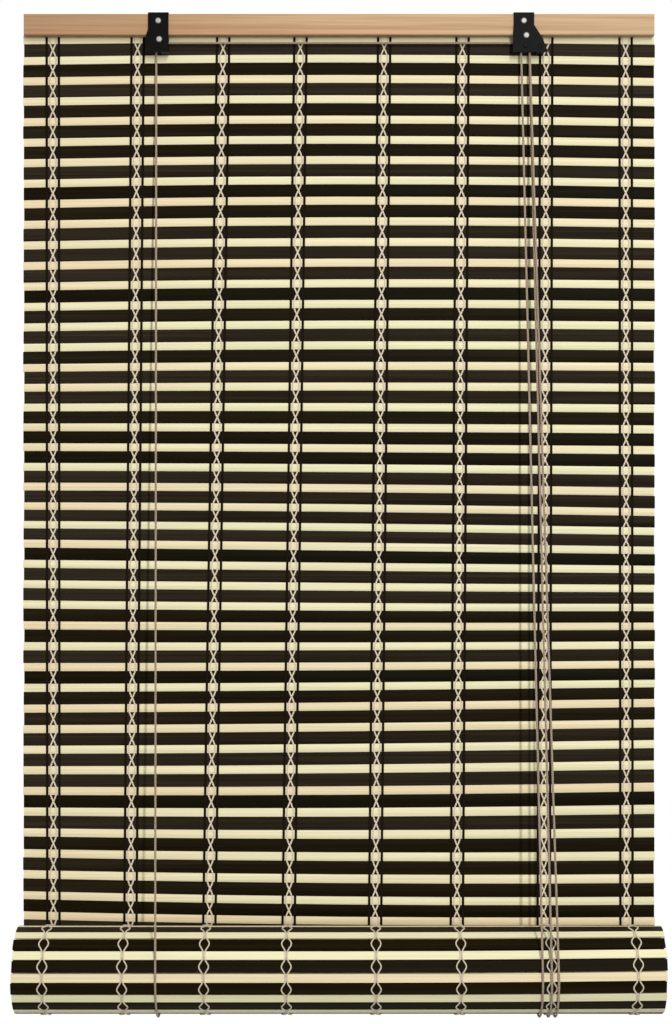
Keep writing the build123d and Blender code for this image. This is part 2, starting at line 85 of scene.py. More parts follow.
@dataclass(frozen=True)
class Layout:
    """Places and sizes shared by the pieces, in metres, as in the part's source."""

    blind_width: float = 0.600
    middle_x: float = -0.0019
    mat_start: float = -0.0193
    pair_pitch: float = 0.0195
    light_width: float = 0.0080
    dark_width: float = 0.0105
    slat_gap: float = 0.0005
    slat_thickness: float = 0.0020
    mat_front: float = -0.0114
    mat_back: float = -0.0094
    hem_top: float = -0.0083
    upper_pairs: int = 7
    hanging_pairs: int = 45
    roll_y: float = -0.0487
    roll_z: float = -0.9000
    roll_radius: float = 0.0383
    roll_core: float = 0.0149
    first_slat_rise: float = 0.0032
    turn_spacing: float = 0.0042
    loop_radius: float = 0.041892
    sheave_z: float = -0.0316
    left_sheave_x: float = -0.1713
    right_sheave_x: float = 0.1745
    pitch_radius: float = 0.0040
    rear_groove_y: float = -0.01605
    front_groove_y: float = -0.01955
    eye_y: float = -0.0060
    eye_foot: float = -0.0189
    eye_x: float = 0.1729
    left_lift_x: float = -0.1697
    right_lift_x: float = 0.1839
    left_pull_x: float = 0.1921
    right_pull_x: float = 0.1985

    @property
    def mat_middle(self) -> float:
        """Depth of the middle of the hanging slats."""
        return (self.mat_front + self.mat_back) / 2

    @property
    def mat_split(self) -> float:
        """Height below which the mat winds onto the roll."""
        return self.mat_start - self.upper_pairs * self.pair_pitch

    def light_middle(self, pair: float) -> float:
        """Height of the middle of a pair's light slat."""
        return self.mat_start - pair * self.pair_pitch - self.light_width / 2

    def dark_middle(self, pair: float) -> float:
        """Height of the middle of a pair's dark slat."""
        top = self.mat_start - pair * self.pair_pitch - self.light_width - self.slat_gap
        return top - self.dark_width / 2

    def front_point(self, cord_x: float, groove_y: float) -> Point:
        """Point where a cord from a sheave groove reaches the roll.

        Args:
            cord_x: Sideways place of the cord at the roll.
            groove_y: Depth of the sheave groove that it comes from.

        Returns:
            The point, in metres.
        """
        angle = self.front_angle(groove_y)
        across = self.roll_y + self.loop_radius * math.cos(angle)
        return (cord_x, across, self.roll_z + self.loop_radius * math.sin(angle))

    def front_angle(self, groove_y: float) -> float:
        """Angle around the roll at which a cord from a sheave groove touches it, in radians.

        Args:
            groove_y: Depth of the sheave groove that the cord comes from.

        Returns:
            The angle, in radians.
        """
        rise = self.sheave_z - self.roll_z
        depth = groove_y - self.roll_y
        return math.atan2(rise, depth) + math.acos(self.loop_radius / math.hypot(rise, depth))


@dataclass(frozen=True)
class Drape:
    """How the hung mat departs from an even spacing.

    Each station is a pair's count from the top, with its rise, tilt and bow in millimetres.
    """

    stations: tuple[tuple[float, float, float, float], ...] = (
        (0, 0.0, 0.0, 0.0),
        (0.6, 1.4, -0.2, -2.6),
        (4, 2.0, -0.2, -2.8),
        (8, 2.9, 0.4, -3.2),
        (12, 2.2, 1.0, -2.3),
        (16, 1.6, 0.6, -1.6),
        (20, 1.2, -1.4, -0.4),
        (23, 2.7, -2.9, -1.2),
        (25, 5.1, -3.4, -0.5),
        (28, 6.2, -1.7, 0.8),
        (30, 7.6, 0.4, 0.7),
        (33, 9.0, 2.7, 0.6),
        (36, 8.3, 2.7, 1.2),
        (38, 6.1, 1.3, 1.8),
        (40, 2.9, -1.1, 2.0),
        (42, -0.1, -2.7, 2.4),
        (43.4, 0.2, -2.8, 2.4),
        (45, 0.0, 0.0, 0.0),
    )
    half_width: float = 0.300
    middle_x: float = -0.0029

    def rise(self, x: float, pair: float) -> float:
        """Lift of the mat at a place across it.

        Args:
            x: Sideways place, in metres.
            pair: Count of slat pairs from the top of the mat.

        Returns:
            The lift, in metres.
        """
        first = self.stations[0]
        share = 0.0
        second = first
        for second in self.stations[1:]:
            if pair <= second[0]:
                share = max(0.0, (pair - first[0]) / (second[0] - first[0]))
                break
            first = second
        level, tilt, bow = (a + (b - a) * share for a, b in zip(first[1:], second[1:]))
        across = (x - self.middle_x) / self.half_width
        return (level + tilt * across + bow * across * across) * MILLIMETRE


class Tree:
    """Short calls to add nodes to a node tree and join them."""

    def __init__(self, tree: bpy.types.NodeTree) -> None:
        """Take the tree that the nodes go into."""
        self.tree = tree

    def node(self, kind: str, **values: object) -> bpy.types.Node:
        """Add a node and set its properties.

        Args:
            kind: Blender's type name of the node.
            values: Properties of the node, by name.

        Returns:
            The new node.
        """
        made = self.tree.nodes.new(kind)
        for key, value in values.items():
            setattr(made, key, value)
        return made

    def feed(self, source: object, target: bpy.types.NodeSocket) -> None:
        """Join a socket to a target, or set a fixed value on the target.

        Args:
            source: A socket to join, or a value to set.
            target: The socket that takes it.
        """
        if isinstance(source, bpy.types.NodeSocket):
            self.tree.links.new(source, target)
        else:
            target.default_value = source

    def math(self, operation: str, *values: object) -> bpy.types.NodeSocket:
        """Arithmetic on sockets and numbers.

        Args:
            operation: Blender's name of the operation.
            values: Sockets and numbers to work on, in order.

        Returns:
            The result's socket.
        """
        made = self.node("ShaderNodeMath", operation=operation)
        for value, target in zip(values, made.inputs):
            self.feed(value, target)
        return made.outputs["Value"]

    def part(self, vector: bpy.types.NodeSocket, axis: str) -> bpy.types.NodeSocket:
        """One axis of a vector.

        Args:
            vector: The vector's socket.
            axis: X, Y or Z.

        Returns:
            That axis's socket.
        """
        made = self.node("ShaderNodeSeparateXYZ")
        self.feed(vector, made.inputs["Vector"])
        return made.outputs[axis]

    def noise(self, vector: bpy.types.NodeSocket, scale: object, detail: float) -> bpy.types.NodeSocket:
        """Cloudy pattern from 0 to 1.

        Args:
            vector: Coordinates to read it at.
            scale: Clouds to a metre, as a socket or a number.
            detail: How many finer layers it has.

        Returns:
            The pattern's value socket.
        """
        made = self.node("ShaderNodeTexNoise")
        for label, value in (("Vector", vector), ("Scale", scale), ("Detail", detail)):
            self.feed(value, made.inputs[label])
        return made.outputs["Fac"]

    def span(
        self,
        factor: bpy.types.NodeSocket,
        ends: tuple[float, float],
        given: tuple[float, float] = (0.0, 1.0),
    ) -> bpy.types.NodeSocket:
        """Stretch a value from one range onto another.

        Args:
            factor: The value.
            ends: Range to stretch it onto.
            given: Range that it comes in.

        Returns:
            The stretched value's socket.
        """
        made = self.node("ShaderNodeMapRange")
        for label, value in zip(("From Min", "From Max", "To Min", "To Max"), (*given, *ends)):
            made.inputs[label].default_value = value
        self.feed(factor, made.inputs["Value"])
        return made.outputs["Result"]


class Shader(Tree):
    """A material with a Principled shader."""

    MIX_FIRST = 6
    MIX_SECOND = 7
    MIX_COLOUR = 2

    def __init__(self, name: str) -> None:
        """Start an empty material with its shader and output.

        Args:
            name: Name of the material.
        """
        self.material = bpy.data.materials.new(name)
        self.material.use_nodes = True
        super().__init__(self.material.node_tree)
        self.tree.nodes.clear()
        self.surface = self.node("ShaderNodeBsdfPrincipled")
        output = self.node("ShaderNodeOutputMaterial")
        self.feed(self.surface.outputs["BSDF"], output.inputs["Surface"])

    def group(self, tree: bpy.types.NodeTree, **values: float) -> bpy.types.Node:
        """Place a shared node group with its own input values.

        Args:
            tree: The group.
            values: Number on each of its inputs, by name.

        Returns:
            The group's node.
        """
        made = self.node("ShaderNodeGroup", node_tree=tree)
        for key, value in values.items():
            made.inputs[key].default_value = value
        return made

    def coordinates(self, kind: str = "Object") -> bpy.types.NodeSocket:
        """The piece's own coordinates."""
        return self.node("ShaderNodeTexCoord").outputs[kind]

    def ramp(
        self,
        factor: bpy.types.NodeSocket,
        places: Sequence[float],
        colours: Sequence[Colour],
    ) -> bpy.types.NodeSocket:
        """Colour ramp over a factor.

        Args:
            factor: Socket that drives the ramp.
            places: Places along the ramp.
            colours: Colour at each place.

        Returns:
            The ramp's colour socket.
        """
        made = self.node("ShaderNodeValToRGB")
        elements = made.color_ramp.elements
        while len(elements) < len(places):
            elements.new(1.0)
        for element, place, colour in zip(elements, places, colours):
            element.position = place
            element.color = colour
        self.feed(factor, made.inputs["Fac"])
        return made.outputs["Color"]

    def mix(
        self, factor: object, first: object, second: object, blend: str = "MIX"
    ) -> bpy.types.NodeSocket:
        """Mix two colours.

        Args:
            factor: Share of the second colour, as a socket or a number.
            first: First colour, as a socket or fixed.
            second: Second colour, as a socket or fixed.
            blend: Blender's name of the way to mix.

        Returns:
            The mixed colour's socket.
        """
        made = self.node("ShaderNodeMix", data_type="RGBA", blend_type=blend)
        self.feed(factor, made.inputs["Factor"])
        self.feed(first, made.inputs[self.MIX_FIRST])
        self.feed(second, made.inputs[self.MIX_SECOND])
        return made.outputs[self.MIX_COLOUR]

    def paint(self, **values: object) -> None:
        """Feed or set the surface's sockets, each named with _ for a space."""
        for key, value in values.items():
            self.feed(value, self.surface.inputs[key.replace("_", " ")])

    def bump(self, height: bpy.types.NodeSocket, strength: float, distance: float) -> None:
        """Raise the surface by a height pattern.

        Args:
            height: The pattern.
            strength: Share of its slopes that shows.
            distance: Height of its peaks, in metres.
        """
        made = self.node("ShaderNodeBump")
        for label, value in (("Strength", strength), ("Distance", distance), ("Height", height)):
            self.feed(value, made.inputs[label])
        self.paint(Normal=made.outputs["Normal"])


class Group(Tree):
    """A shader group with a vector input, number inputs and value outputs."""

    def __init__(self, name: str, inputs: dict[str, float], outputs: Sequence[str]) -> None:
        """Make an empty group with its sockets.

        Args:
            name: Name of the group.
            inputs: Default of each number socket, by its name.
            outputs: Names of the value sockets that it puts out.
        """
        super().__init__(bpy.data.node_groups.new(name, "ShaderNodeTree"))
        number = "NodeSocketFloat"
        sockets = self.tree.interface
        sockets.new_socket(name="Vector", in_out="INPUT", socket_type="NodeSocketVector")
        for label, value in inputs.items():
            sockets.new_socket(name=label, in_out="INPUT", socket_type=number).default_value = value
        for label in outputs:
            sockets.new_socket(name=label, in_out="OUTPUT", socket_type=number)
        self.given = self.node("NodeGroupInput").outputs
        self.out = self.node("NodeGroupOutput").inputs


class Patterns:
    """Shader groups that several finishes share, each built once."""

    FIBRES = (("Fine", 1.0, 4.0), ("Drift", 0.22, 2.0))
    SPECKS = (("Speck", 4.0), ("Cloud", 1.0))
    SPECK_DETAIL = 3.0

    def __init__(self) -> None:
        """Build the groups."""
        self.fibre = self._fibre()
        self.mottle = self._mottle()
        self.twist = self._twist()

    def _fibre(self) -> bpy.types.NodeTree:
        """Long streaks along X: fine fibres and a slow drift of tone.

        Returns:
            The group's tree.
        """
        group = Group("fibre_streaks", {"Along": 6.0, "Across": 900.0}, ("Fine", "Drift"))
        for label, share, detail in self.FIBRES:
            stretch = group.node("ShaderNodeCombineXYZ")
            for axis, given in (("X", "Along"), ("Y", "Across"), ("Z", "Across")):
                group.feed(group.given[given], stretch.inputs[axis])
            scaled = group.node("ShaderNodeVectorMath", operation="MULTIPLY")
            group.feed(group.given["Vector"], scaled.inputs[0])
            group.feed(stretch.outputs["Vector"], scaled.inputs[1])
            whole = group.node("ShaderNodeVectorMath", operation="SCALE")
            group.feed(scaled.outputs["Vector"], whole.inputs[0])
            group.feed(share, whole.inputs["Scale"])
            group.feed(group.noise(whole.outputs["Vector"], 1.0, detail), group.out[label])
        return group.tree

    def _mottle(self) -> bpy.types.NodeTree:
        """Soft even speckle, as on lacquer, plating and moulded plastic.

        Returns:
            The group's tree.
        """
        group = Group("soft_mottle", {"Size": 300.0}, ("Speck", "Cloud"))
        for label, share in self.SPECKS:
            size = group.math("MULTIPLY", group.given["Size"], share)
            group.feed(group.noise(group.given["Vector"], size, self.SPECK_DETAIL), group.out[label])
        return group.tree

    @staticmethod
    def _twist() -> bpy.types.NodeTree:
        """Slanting yarn lines along a thread's own UV map.

        Returns:
            The group's tree.
        """
        group = Group("yarn_twist", {"Turns": 200.0}, ("Yarn",))
        along = group.math("MULTIPLY", group.part(group.given["Vector"], "X"), group.given["Turns"])
        slant = group.math("ADD", along, group.part(group.given["Vector"], "Y"))
        wave = group.math("SINE", group.math("MULTIPLY", slant, 2 * math.pi))
        group.feed(group.math("MULTIPLY_ADD", wave, 0.5, 0.5), group.out["Yarn"])
        return group.tree


@dataclass(frozen=True)
class BambooFinish:
    """Split bamboo: three tones that differ from slat to slat, with long fibres."""

    name: str
    tones: tuple[Colour, Colour, Colour]
    fibre_shades: tuple[float, float]
    roughness: tuple[float, float]
    gloss: float
    along: float = 5.0
    across: float = 900.0
    drift: tuple[float, float] = (-0.35, 0.35)
    tone_places: tuple[float, float, float] = (0.0, 0.5, 1.0)
    fibre_places: tuple[float, float] = (0.3, 0.7)
    relief: tuple[float, float] = (0.25, 0.0003)

    def material(self, patterns: Patterns) -> bpy.types.Material:
        """Make the material from the shared patterns.

        Args:
            patterns: The shared groups.

        Returns:
            The new material.
        """
        shader = Shader(self.name)
        fibre = shader.group(patterns.fibre, Along=self.along, Across=self.across)
        shader.feed(shader.coordinates(), fibre.inputs["Vector"])
        fine = fibre.outputs["Fine"]
        tone = shader.node("ShaderNodeAttribute", attribute_name=TONE).outputs["Fac"]
        shifted = shader.math("ADD", tone, shader.span(fibre.outputs["Drift"], self.drift))
        base = shader.ramp(shifted, self.tone_places, self.tones)
        greys = [(shade, shade, shade, 1.0) for shade in self.fibre_shades]
        streaks = shader.ramp(fine, self.fibre_places, greys)
        shader.paint(
            Base_Color=shader.mix(1.0, base, streaks, "MULTIPLY"),
            Roughness=shader.span(fine, self.roughness),
            Specular_IOR_Level=self.gloss,
        )
        shader.bump(fine, *self.relief)
        return shader.material


@dataclass(frozen=True)
class BattenFinish:
    """Planed batten: tan wood that shifts from end to end, with slow figure and fine pores along X."""

    name: str
    ends: tuple[Colour, Colour, Colour]
    figure: Colour
    pores: tuple[Colour, Colour] = ((0.86, 0.83, 0.80, 1), (1.04, 1.04, 1.04, 1))
    pore_places: tuple[float, float] = (0.32, 0.62)
    end_places: tuple[float, float, float] = (0.0, 0.45, 1.0)
    reach: float = 0.28
    along: float = 11.0
    across: float = 700.0
    figure_band: tuple[float, float] = (0.46, 0.66)
    figure_share: float = 0.75
    roughness: tuple[float, float] = (0.62, 0.46)
    gloss: float = 0.3
    relief: tuple[float, float] = (0.2, 0.0003)

    def material(self, patterns: Patterns) -> bpy.types.Material:
        """Make the material from the shared patterns.

        Args:
            patterns: The shared groups.

        Returns:
            The new material.
        """
        shader = Shader(self.name)
        fibre = shader.group(patterns.fibre, Along=self.along, Across=self.across)
        shader.feed(shader.coordinates(), fibre.inputs["Vector"])
        fine = fibre.outputs["Fine"]
        place = shader.part(shader.coordinates(), "X")
        ground = shader.ramp(
            shader.span(place, (0.0, 1.0), (-self.reach, self.reach)), self.end_places, self.ends
        )
        slow = shader.span(fibre.outputs["Drift"], (0.0, self.figure_share), self.figure_band)
        grained = shader.mix(slow, ground, self.figure)
        pores = shader.ramp(fine, self.pore_places, self.pores)
        shader.paint(
            Base_Color=shader.mix(1.0, grained, pores, "MULTIPLY"),
            Roughness=shader.span(fine, self.roughness),
            Specular_IOR_Level=self.gloss,
        )
        shader.bump(fine, *self.relief)
        return shader.material


@dataclass(frozen=True)
class HardFinish:
    """Lacquer, plating, bare steel or moulded plastic with a soft speckle."""

    name: str
    colours: tuple[Colour, Colour]
    metallic: float
    roughness: tuple[float, float]
    grain: float = 300.0
    gloss: float = 0.5
    cloud_places: tuple[float, float] = (0.3, 0.7)
    relief: tuple[float, float] = (0.12, 0.0001)

    def material(self, patterns: Patterns) -> bpy.types.Material:
        """Make the material from the shared patterns.

        Args:
            patterns: The shared groups.

        Returns:
            The new material.
        """
        shader = Shader(self.name)
        mottle = shader.group(patterns.mottle, Size=self.grain)
        shader.feed(shader.coordinates(), mottle.inputs["Vector"])
        cloud = mottle.outputs["Cloud"]
        shader.paint(
            Base_Color=shader.ramp(cloud, self.cloud_places, self.colours),
            Metallic=self.metallic,
            Roughness=shader.span(cloud, self.roughness),
            Specular_IOR_Level=self.gloss,
        )
        shader.bump(mottle.outputs["Speck"], *self.relief)
        return shader.material


@dataclass(frozen=True)
class YarnFinish:
    """Twisted yarn: slanting lines along the piece's own UV map, with fuzz; the colour ramp over them
    paints shade into the grooves of the twist.
    """

    name: str
    colours: tuple[Colour, Colour]
    turns: float
    gloss: float = 0.3
    sheen: float = 0.15
    fuzz_size: float = 900.0
    line_share: float = 0.7
    fuzz_share: float = 0.4
    groove_shade_places: tuple[float, float] = (0.1, 0.75)
    roughness: tuple[float, float] = (0.95, 0.75)
    relief: tuple[float, float] = (0.5, 0.0003)

    def material(self, patterns: Patterns) -> bpy.types.Material:
        """Make the material from the shared patterns.

        Args:
            patterns: The shared groups.

        Returns:
            The new material.
        """
        shader = Shader(self.name)
        yarn = shader.group(patterns.twist, Turns=self.turns)
        shader.feed(shader.coordinates("UV"), yarn.inputs["Vector"])
        fuzz = shader.group(patterns.mottle, Size=self.fuzz_size)
        shader.feed(shader.coordinates(), fuzz.inputs["Vector"])
        # The ramp's dark end, where the twist lines dip, is painted shade in the grooves between the
        # strands; the fuzz is the yarn's own variation.
        lines = shader.math("MULTIPLY", yarn.outputs["Yarn"], self.line_share)
        hairs = shader.math("MULTIPLY", fuzz.outputs["Cloud"], self.fuzz_share)
        depth = shader.math("ADD", lines, hairs)
        shader.paint(
            Base_Color=shader.ramp(depth, self.groove_shade_places, self.colours),
            Roughness=shader.span(fuzz.outputs["Speck"], self.roughness),
            Specular_IOR_Level=self.gloss,
            Sheen_Weight=self.sheen,
        )
        shader.bump(depth, *self.relief)
        return shader.material


class Palette:
    """Every finish of the blind as a material."""

    FINISHES = (
        BambooFinish(
            "light_bamboo",
            ((0.850, 0.828, 0.508, 1), (0.888, 0.820, 0.526, 1), (0.878, 0.718, 0.448, 1)),
            fibre_shades=(0.86, 1.06),
            roughness=(0.58, 0.44),
            gloss=0.25,
        ),
        BambooFinish(
            "dark_bamboo",
            ((0.0058, 0.0046, 0.0010, 1), (0.0098, 0.0060, 0.0014, 1), (0.0260, 0.0185, 0.0110, 1)),
            fibre_shades=(0.60, 1.50),
            roughness=(0.52, 0.40),
            gloss=0.025,
        ),
        BattenFinish(
            "rail_wood",
            ((0.435, 0.265, 0.137, 1), (0.600, 0.385, 0.205, 1), (0.590, 0.405, 0.225, 1)),
            figure=(0.455, 0.240, 0.110, 1),
        ),
        HardFinish(
            "black_steel",
            ((0.0040, 0.0036, 0.0034, 1), (0.0065, 0.0058, 0.0054, 1)),
            metallic=0.0,
            roughness=(0.32, 0.45),
            gloss=0.03,
        ),
        HardFinish(
            "bright_steel",
            ((0.23, 0.23, 0.23, 1), (0.31, 0.31, 0.30, 1)),
            metallic=1.0,
            roughness=(0.48, 0.58),
            grain=500.0,
        ),
        HardFinish(
            "sheave_plastic",
            ((0.024, 0.024, 0.024, 1), (0.036, 0.036, 0.035, 1)),
            metallic=0.0,
            roughness=(0.45, 0.60),
            gloss=0.2,
        ),
        HardFinish(
            "cam_steel",
            ((0.20, 0.20, 0.19, 1), (0.30, 0.29, 0.28, 1)),
            metallic=1.0,
            roughness=(0.35, 0.50),
            grain=600.0,
        ),
        HardFinish(
            "tack_steel",
            ((0.40, 0.39, 0.37, 1), (0.52, 0.51, 0.49, 1)),
            metallic=1.0,
            roughness=(0.28, 0.42),
            grain=500.0,
        ),
        # Each yarn's first colour is painted shade for the grooves of its twist.
        YarnFinish("light_thread", ((0.51, 0.420, 0.290, 1), (0.81, 0.715, 0.545, 1)), turns=350.0),
        YarnFinish(
            "dark_thread",
            ((0.006, 0.004, 0.002, 1), (0.016, 0.010, 0.006, 1)),
            turns=350.0,
            gloss=0.03,
            sheen=0.0,
        ),
        YarnFinish("tan_cord", ((0.235, 0.170, 0.115, 1), (0.470, 0.365, 0.270, 1)), turns=260.0),
    )

    def __init__(self) -> None:
        """Make the materials once."""
        patterns = Patterns()
        self.materials = {finish.name: finish.material(patterns) for finish in self.FINISHES}

    def of(self, name: str) -> bpy.types.Material:
        """Material of a finish, by its name."""
        return self.materials[name]


@dataclass
class Studio:
    """Camera, key light, pale floor and white surround."""

    camera_place: Point = (-0.0048, -1.911, -0.4727)
    lens: float = 46.8
    sensor: float = 24.0
    key_right: float = 11.5
    key_distance: float = 4.0
    key_middle: float = 0.95
    key_width: float = 0.14
    key_height: float = 3.2
    key_power: float = 118.0
    ambient_below: float = 0.03
    ambient_above: float = 0.78
    floor_z: float = -2.10
    floor_reach: float = 0.70
    floor_colour: Colour = (0.88, 0.88, 0.87, 1)
    floor_roughness: float = 0.8

    def build(self) -> None:
        """Set up the whole studio."""
        self._camera()
        self._key()
        self._world()
        self._floor()
        bpy.context.scene.view_settings.view_transform = "Standard"

    def _camera(self) -> None:
        """Camera straight in front of the blind, at half its height."""
        data = bpy.data.cameras.new("front_camera")
        data.sensor_fit = "VERTICAL"
        data.sensor_height = self.sensor
        data.lens = self.lens
        camera = bpy.data.objects.new("front_camera", data)
        camera.location = self.camera_place
        camera.rotation_euler = (UPRIGHT, 0, 0)
        bpy.context.scene.collection.objects.link(camera)
        bpy.context.scene.camera = camera

    def _key(self) -> None:
        """Tall narrow key light from the right, which shades upright edges more sharply than level ones."""
        data = bpy.data.lights.new("key_light", "AREA")
        data.shape = "RECTANGLE"
        data.size = self.key_width
        data.size_y = self.key_height
        data.energy = self.key_power
        turn = math.radians(self.key_right)
        across = self.key_distance * math.sin(turn)
        lamp = bpy.data.objects.new("key_light", data)
        lamp.location = (across, -self.key_distance * math.cos(turn), self.key_middle)
        lamp.rotation_euler = (UPRIGHT, 0, turn)
        lamp.visible_camera = False
        bpy.context.scene.collection.objects.link(lamp)

    def _world(self) -> None:
        """Soft light that falls off towards the ground, and white where a ray sees past the blind."""
        world = bpy.data.worlds.new("white_surround")
        world.use_nodes = True
        bpy.context.scene.world = world
        tree = Tree(world.node_tree)
        tree.tree.nodes.clear()
        path = tree.node("ShaderNodeLightPath").outputs
        seen = tree.math("MAXIMUM", path["Is Camera Ray"], path["Is Glossy Ray"])
        past = tree.math("MAXIMUM", seen, path["Is Transmission Ray"])
        way = tree.part(tree.node("ShaderNodeTexCoord").outputs["Generated"], "Z")
        level = tree.span(way, (self.ambient_below, self.ambient_above), (-1.0, 1.0))
        mixed = tree.node("ShaderNodeMixShader")
        tree.feed(past, mixed.inputs["Fac"])
        for target, strength in ((mixed.inputs[1], level), (mixed.inputs[2], 1.0)):
            light = tree.node("ShaderNodeBackground")
            tree.feed(WHITE, light.inputs["Color"])
            tree.feed(strength, light.inputs["Strength"])
            tree.feed(light.outputs["Background"], target)
        output = tree.node("ShaderNodeOutputWorld")
        tree.feed(mixed.outputs["Shader"], output.inputs["Surface"])

    def _floor(self) -> None:
        """Pale floor well below the roll."""
        bm = bmesh.new()
        bmesh.ops.create_grid(bm, x_segments=1, y_segments=1, size=self.floor_reach)
        bmesh.ops.translate(bm, vec=(0, 0, self.floor_z), verts=bm.verts)
        mesh = bpy.data.meshes.new("floor")
        bm.to_mesh(mesh)
        bm.free()
        floor = bpy.data.objects.new("floor", mesh)
        bpy.context.scene.collection.objects.link(floor)
        shader = Shader("floor_white")
        shader.paint(Base_Color=self.floor_colour, Roughness=self.floor_roughness)
        mesh.materials.append(shader.material)


@dataclass
class Piece:
    """A finished mesh with what it rides on, stands for and is painted with."""

    name: str
    body: Body
    slot: Slot
    nodes: tuple[str, ...] = ()
    smooth_angle: float = 35.0

    def place(self, mesh: bpy.types.Mesh, palette: Palette) -> bpy.types.Object:
        """Add the mesh to the scene as this piece.

        Args:
            mesh: Mesh with its place in its vertices.
            palette: Materials to paint it from.

        Returns:
            The new object.
        """
        mesh.name = self.name
        mesh.materials.clear()
        mesh.materials.append(palette.of(self.slot.value))
        made = bpy.data.objects.new(self.name, mesh)
        bpy.context.scene.collection.objects.link(made)
        mesh.shade_smooth()
        mesh.set_sharp_from_angle(angle=math.radians(self.smooth_angle))
        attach(made, self.body.value)
        if self.nodes:
            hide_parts(*self.nodes)
        LOG.info("%s: %d faces on %s", self.name, len(mesh.polygons), self.body.value)
        return made


@dataclass(frozen=True)
class Rope:
    """Sizes of the laid cord."""

    radius: float = 0.0011
    strands: int = 3
    lay: float = 0.0085
    spacing: float = 0.0011
    strand_share: float = 0.52

    @property
    def strand_radius(self) -> float:
        """Radius of one strand."""
        return self.radius * self.strand_share

    @property
    def offset(self) -> float:
        """Distance of a strand's middle from the cord's middle."""
        return self.radius - self.strand_radius


class Strand:
    """Smooth lines from control points, and the tubes and ropes that follow them."""

    LEVEL = 0.95

    @staticmethod
    def _curve(
        routes: Sequence[Sequence[Point]], kind: str, steps: int, cyclic: bool
    ) -> bpy.types.Object:
        """Curve object with one spline for each route.

        Args:
            routes: Control points of each spline.
            kind: Blender's type name of the splines.
            steps: Points for each stretch between control points.
            cyclic: Whether each spline closes on itself.

        Returns:
            The new object, in no collection.
        """
        data = bpy.data.curves.new("route", "CURVE")
        data.dimensions = "3D"
        for route in routes:
            spline = data.splines.new(kind)
            spline.points.add(len(route) - 1)
            for point, place in zip(spline.points, route):
                point.co = (*place, 1.0)
            if kind == "NURBS":
                spline.order_u = 3
                spline.use_endpoint_u = not cyclic
                spline.use_cyclic_u = cyclic
                spline.resolution_u = steps
        return bpy.data.objects.new("route", data)

    @classmethod
    def tubes(
        cls,
        routes: Sequence[Sequence[Point]],
        radius: float,
        steps: int = 3,
        sides: int = 1,
        kind: str = "NURBS",
        cyclic: bool = False,
    ) -> bpy.types.Mesh:
        """Round tubes along routes, joined in one mesh.

        Args:
            routes: Control points of each tube.
            radius: Radius of the tubes.
            steps: Rings for each stretch between control points.
            sides: Blender's bevel resolution of the round section.
            kind: NURBS for a smooth line, POLY for one through every point.
            cyclic: Whether each tube closes on itself.

        Returns:
            The mesh, with Blender's UV map along and around each tube.
        """
        made = cls._curve(routes, kind, steps, cyclic)
        made.data.bevel_depth = radius
        made.data.bevel_resolution = sides
        made.data.use_fill_caps = not cyclic
        mesh = bpy.data.meshes.new_from_object(made)
        bpy.data.objects.remove(made)
        return mesh

    @classmethod
    def line(cls, route: Sequence[Point], steps: int) -> list[Vector]:
        """Points of the smooth line that a route's control points give.

        Args:
            route: The control points.
            steps: Points for each stretch between control points.

        Returns:
            The line's points.
        """
        made = cls._curve([route], "NURBS", steps, False)
        mesh = bpy.data.meshes.new_from_object(made)
        points = [vertex.co.copy() for vertex in mesh.vertices]
        bpy.data.meshes.remove(mesh)
        bpy.data.objects.remove(made)
        return points

    @staticmethod
    def even(points: Sequence[Vector], spacing: float) -> list[Vector]:
        """Points at an even spacing along a line.

        Args:
            points: Points of the line.
            spacing: Distance wanted between neighbours.

        Returns:
            The evenly spaced points, with the line's own ends.
        """
        reach = [0.0]
        for first, second in zip(points, points[1:]):
            reach.append(reach[-1] + (second - first).length)
        count = max(2, round(reach[-1] / spacing))
        result = []
        place = 0
        for step in range(count + 1):
            target = reach[-1] * step / count
            while place < len(points) - 2 and reach[place + 1] < target:
                place += 1
            length = reach[place + 1] - reach[place]
            share = (target - reach[place]) / length if length else 0.0
            result.append(points[place].lerp(points[place + 1], min(1.0, share)))
        return result

    @classmethod
    def rope(cls, line: Sequence[Vector], rope: Rope) -> bpy.types.Mesh:
        """Laid strands twisted around a line.

        Args:
            line: Evenly spaced points of the cord's middle.
            rope: Sizes of the cord.

        Returns:
            One mesh of all the strands.
        """
        side = Vector((1, 0, 0))
        strands: list[list[Point]] = [[] for _ in range(rope.strands)]
        run = 0.0
        for index, point in enumerate(line):
            before = line[max(0, index - 1)]
            after = line[min(len(line) - 1, index + 1)]
            along = (after - before).normalized()
            if abs(along.x) > cls.LEVEL and index == 0:
                side = Vector((0, 1, 0))
            side = (side - along * side.dot(along)).normalized()
            other = along.cross(side)
            run += (point - before).length
            for number, strand in enumerate(strands):
                angle = 2 * math.pi * (run / rope.lay + number / rope.strands)
                out = (side * math.cos(angle) + other * math.sin(angle)) * rope.offset
                strand.append(tuple(point + out))
        return cls.tubes(strands, rope.strand_radius, kind="POLY")


